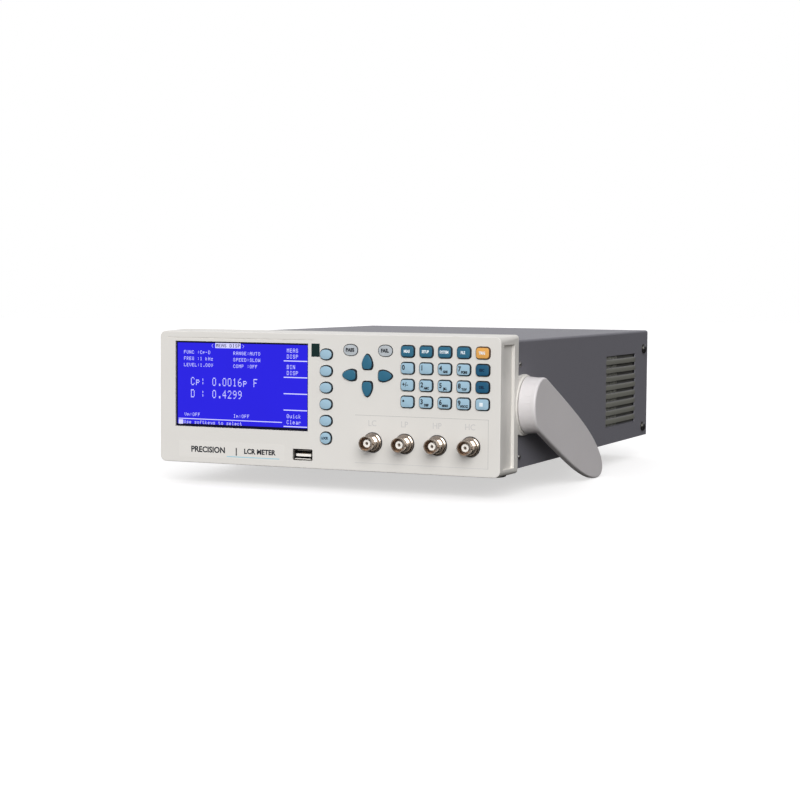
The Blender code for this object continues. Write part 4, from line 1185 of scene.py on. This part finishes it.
def rear_details():
    """Sockets, labels and screws of the rear panel; materials of the parts inside."""
    power_module()
    rocker()
    serial_port()
    earth_terminal()
    face = spot("rear_panel")[1].y
    for name, text, node, rise in (("ground", "GND", "earth_terminal", 10.5),
                                   ("mains", "AC MAINS", "power_inlet", 20.0),
                                   ("serial", "SERIAL PORT", "serial_port", 11.0)):
        x, z = centre_of(node)
        lettering(f"print_{name}", text, 3.0, (x, face + 0.02, z + rise), WHITE_INK, "root",
                  way=-1)
    for i, (x, z) in enumerate(((-120.0, 84.0), (0.0, 84.0), (120.0, 84.0), (-70.0, 12.0), (70.0, 12.0))):
        cross_head(f"rear_screw_{i + 1}", (x, face, z), 3.0, 1.4, ZINC, "Y")
    label = slab(rounded(52.0, 22.0, 1.5), face - 0.1, face + 0.08, (LABEL_X, 30.0))
    fixed("rating_label", [label], [STRIP])
    for row, text in enumerate(("LCR METER", "INPUT: SEE MANUAL", "SERIAL NO.")):
        lettering(f"print_rating_{row + 1}", text, 2.4, (LABEL_X, face + 0.1, 36.5 - row * 6.5), DARK_INK,
                  "root", way=-1)
    for node, surface in (("display_module", STEEL), ("key_board", BOARD), ("main_board", BOARD),
                          ("transformer", CORE)):
        repaint(node, surface)


# ---------------------------------------------------------------- studio

def floor():
    """Pale disc that neither lights the object nor shows in its gloss."""
    bm = bmesh.new()
    bmesh.ops.create_circle(bm, cap_ends=True, segments=96, radius=FLOOR_RADIUS)
    made = from_bmesh("floor", bm)
    made.visible_diffuse = made.visible_glossy = False
    pale = Surface("floor_pale", (0.56, 0.56, 0.56, 1.0), 0.8).mottle(3, 0.01)
    pale.set("Emission Color", (1.0, 0.99, 0.98, 1.0))
    pale.set("Emission Strength", 0.58)
    made.data.materials.append(pale.material)


def surround():
    """World that the camera sees white, and that lights from above and the left."""
    made = bpy.data.worlds.new("studio")
    made.use_nodes = True
    nodes = made.node_tree.nodes
    seen, around = nodes["Background"], nodes.new("ShaderNodeBackground")
    seen.inputs["Color"].default_value = (1.0, 1.0, 1.0, 1.0)
    toward = nodes.new("ShaderNodeVectorMath")
    toward.operation = "DOT_PRODUCT"
    toward.inputs[1].default_value = BRIGHT_SIDE
    spread = nodes.new("ShaderNodeMapRange")
    spread.inputs["From Min"].default_value = -1.0
    spread.inputs["From Max"].default_value = 1.0
    ramp = nodes.new("ShaderNodeValToRGB")
    stops = ramp.color_ramp.elements
    stops[0].position, stops[0].color = 0.38, (0.035, 0.032, 0.03, 1.0)
    stops[1].position, stops[1].color = 0.80, (0.48, 0.48, 0.50, 1.0)
    stops.new(0.50).color = (0.55, 0.55, 0.56, 1.0)
    place, path = nodes.new("ShaderNodeTexCoord"), nodes.new("ShaderNodeLightPath")
    mix = nodes.new("ShaderNodeMixShader")
    for output, socket in ((place.outputs["Generated"], toward.inputs[0]),
                           (toward.outputs["Value"], spread.inputs["Value"]),
                           (spread.outputs["Result"], ramp.inputs["Fac"]),
                           (ramp.outputs["Color"], around.inputs["Color"]),
                           (path.outputs["Is Camera Ray"], mix.inputs["Fac"]),
                           (around.outputs["Background"], mix.inputs[1]),
                           (seen.outputs["Background"], mix.inputs[2]),
                           (mix.outputs["Shader"], nodes["World Output"].inputs["Surface"])):
        made.node_tree.links.new(output, socket)
    bpy.context.scene.world = made


def suns():
    """Soft key light from the front right and a weak fill from behind."""
    for name, turn, rise, strength, softness in SUNS:
        light = bpy.data.lights.new(name, "SUN")
        light.energy, light.angle = strength, math.radians(softness)
        a, e = math.radians(turn), math.radians(rise)
        source = Vector((math.sin(a) * math.cos(e), -math.cos(a) * math.cos(e), math.sin(e)))
        lamp = placed(name, light)
        lamp.rotation_mode = "QUATERNION"
        lamp.rotation_quaternion = source.to_track_quat("Z", "Y")


def camera():
    """Low three-quarter view from the front right."""
    lens_ = bpy.data.cameras.new("camera")
    lens_.lens, lens_.sensor_width = CAMERA_LENS, 36.0
    lens_.clip_start, lens_.clip_end = 0.05, 50.0
    made = placed("camera", lens_)
    made.location = world(*CAMERA_PLACE)
    yaw, pitch, roll = (math.radians(angle) for angle in (CAMERA_YAW, 90 - CAMERA_FALL, CAMERA_ROLL))
    turn = Matrix.Rotation(yaw, 3, "Z") @ Matrix.Rotation(pitch, 3, "X") @ Matrix.Rotation(roll, 3, "Z")
    made.rotation_mode = "QUATERNION"
    made.rotation_quaternion = turn.to_quaternion()
    bpy.context.scene.camera = made


bpy.context.scene.view_settings.view_transform = "Standard"
camera()
floor()
surround()
suns()
bezel()
key_legends(keys())
lamps()
screen()
panel_print()
test_sockets()
usb_socket()
case()
side_screws()
feet()
swing_arms()
rear_details()
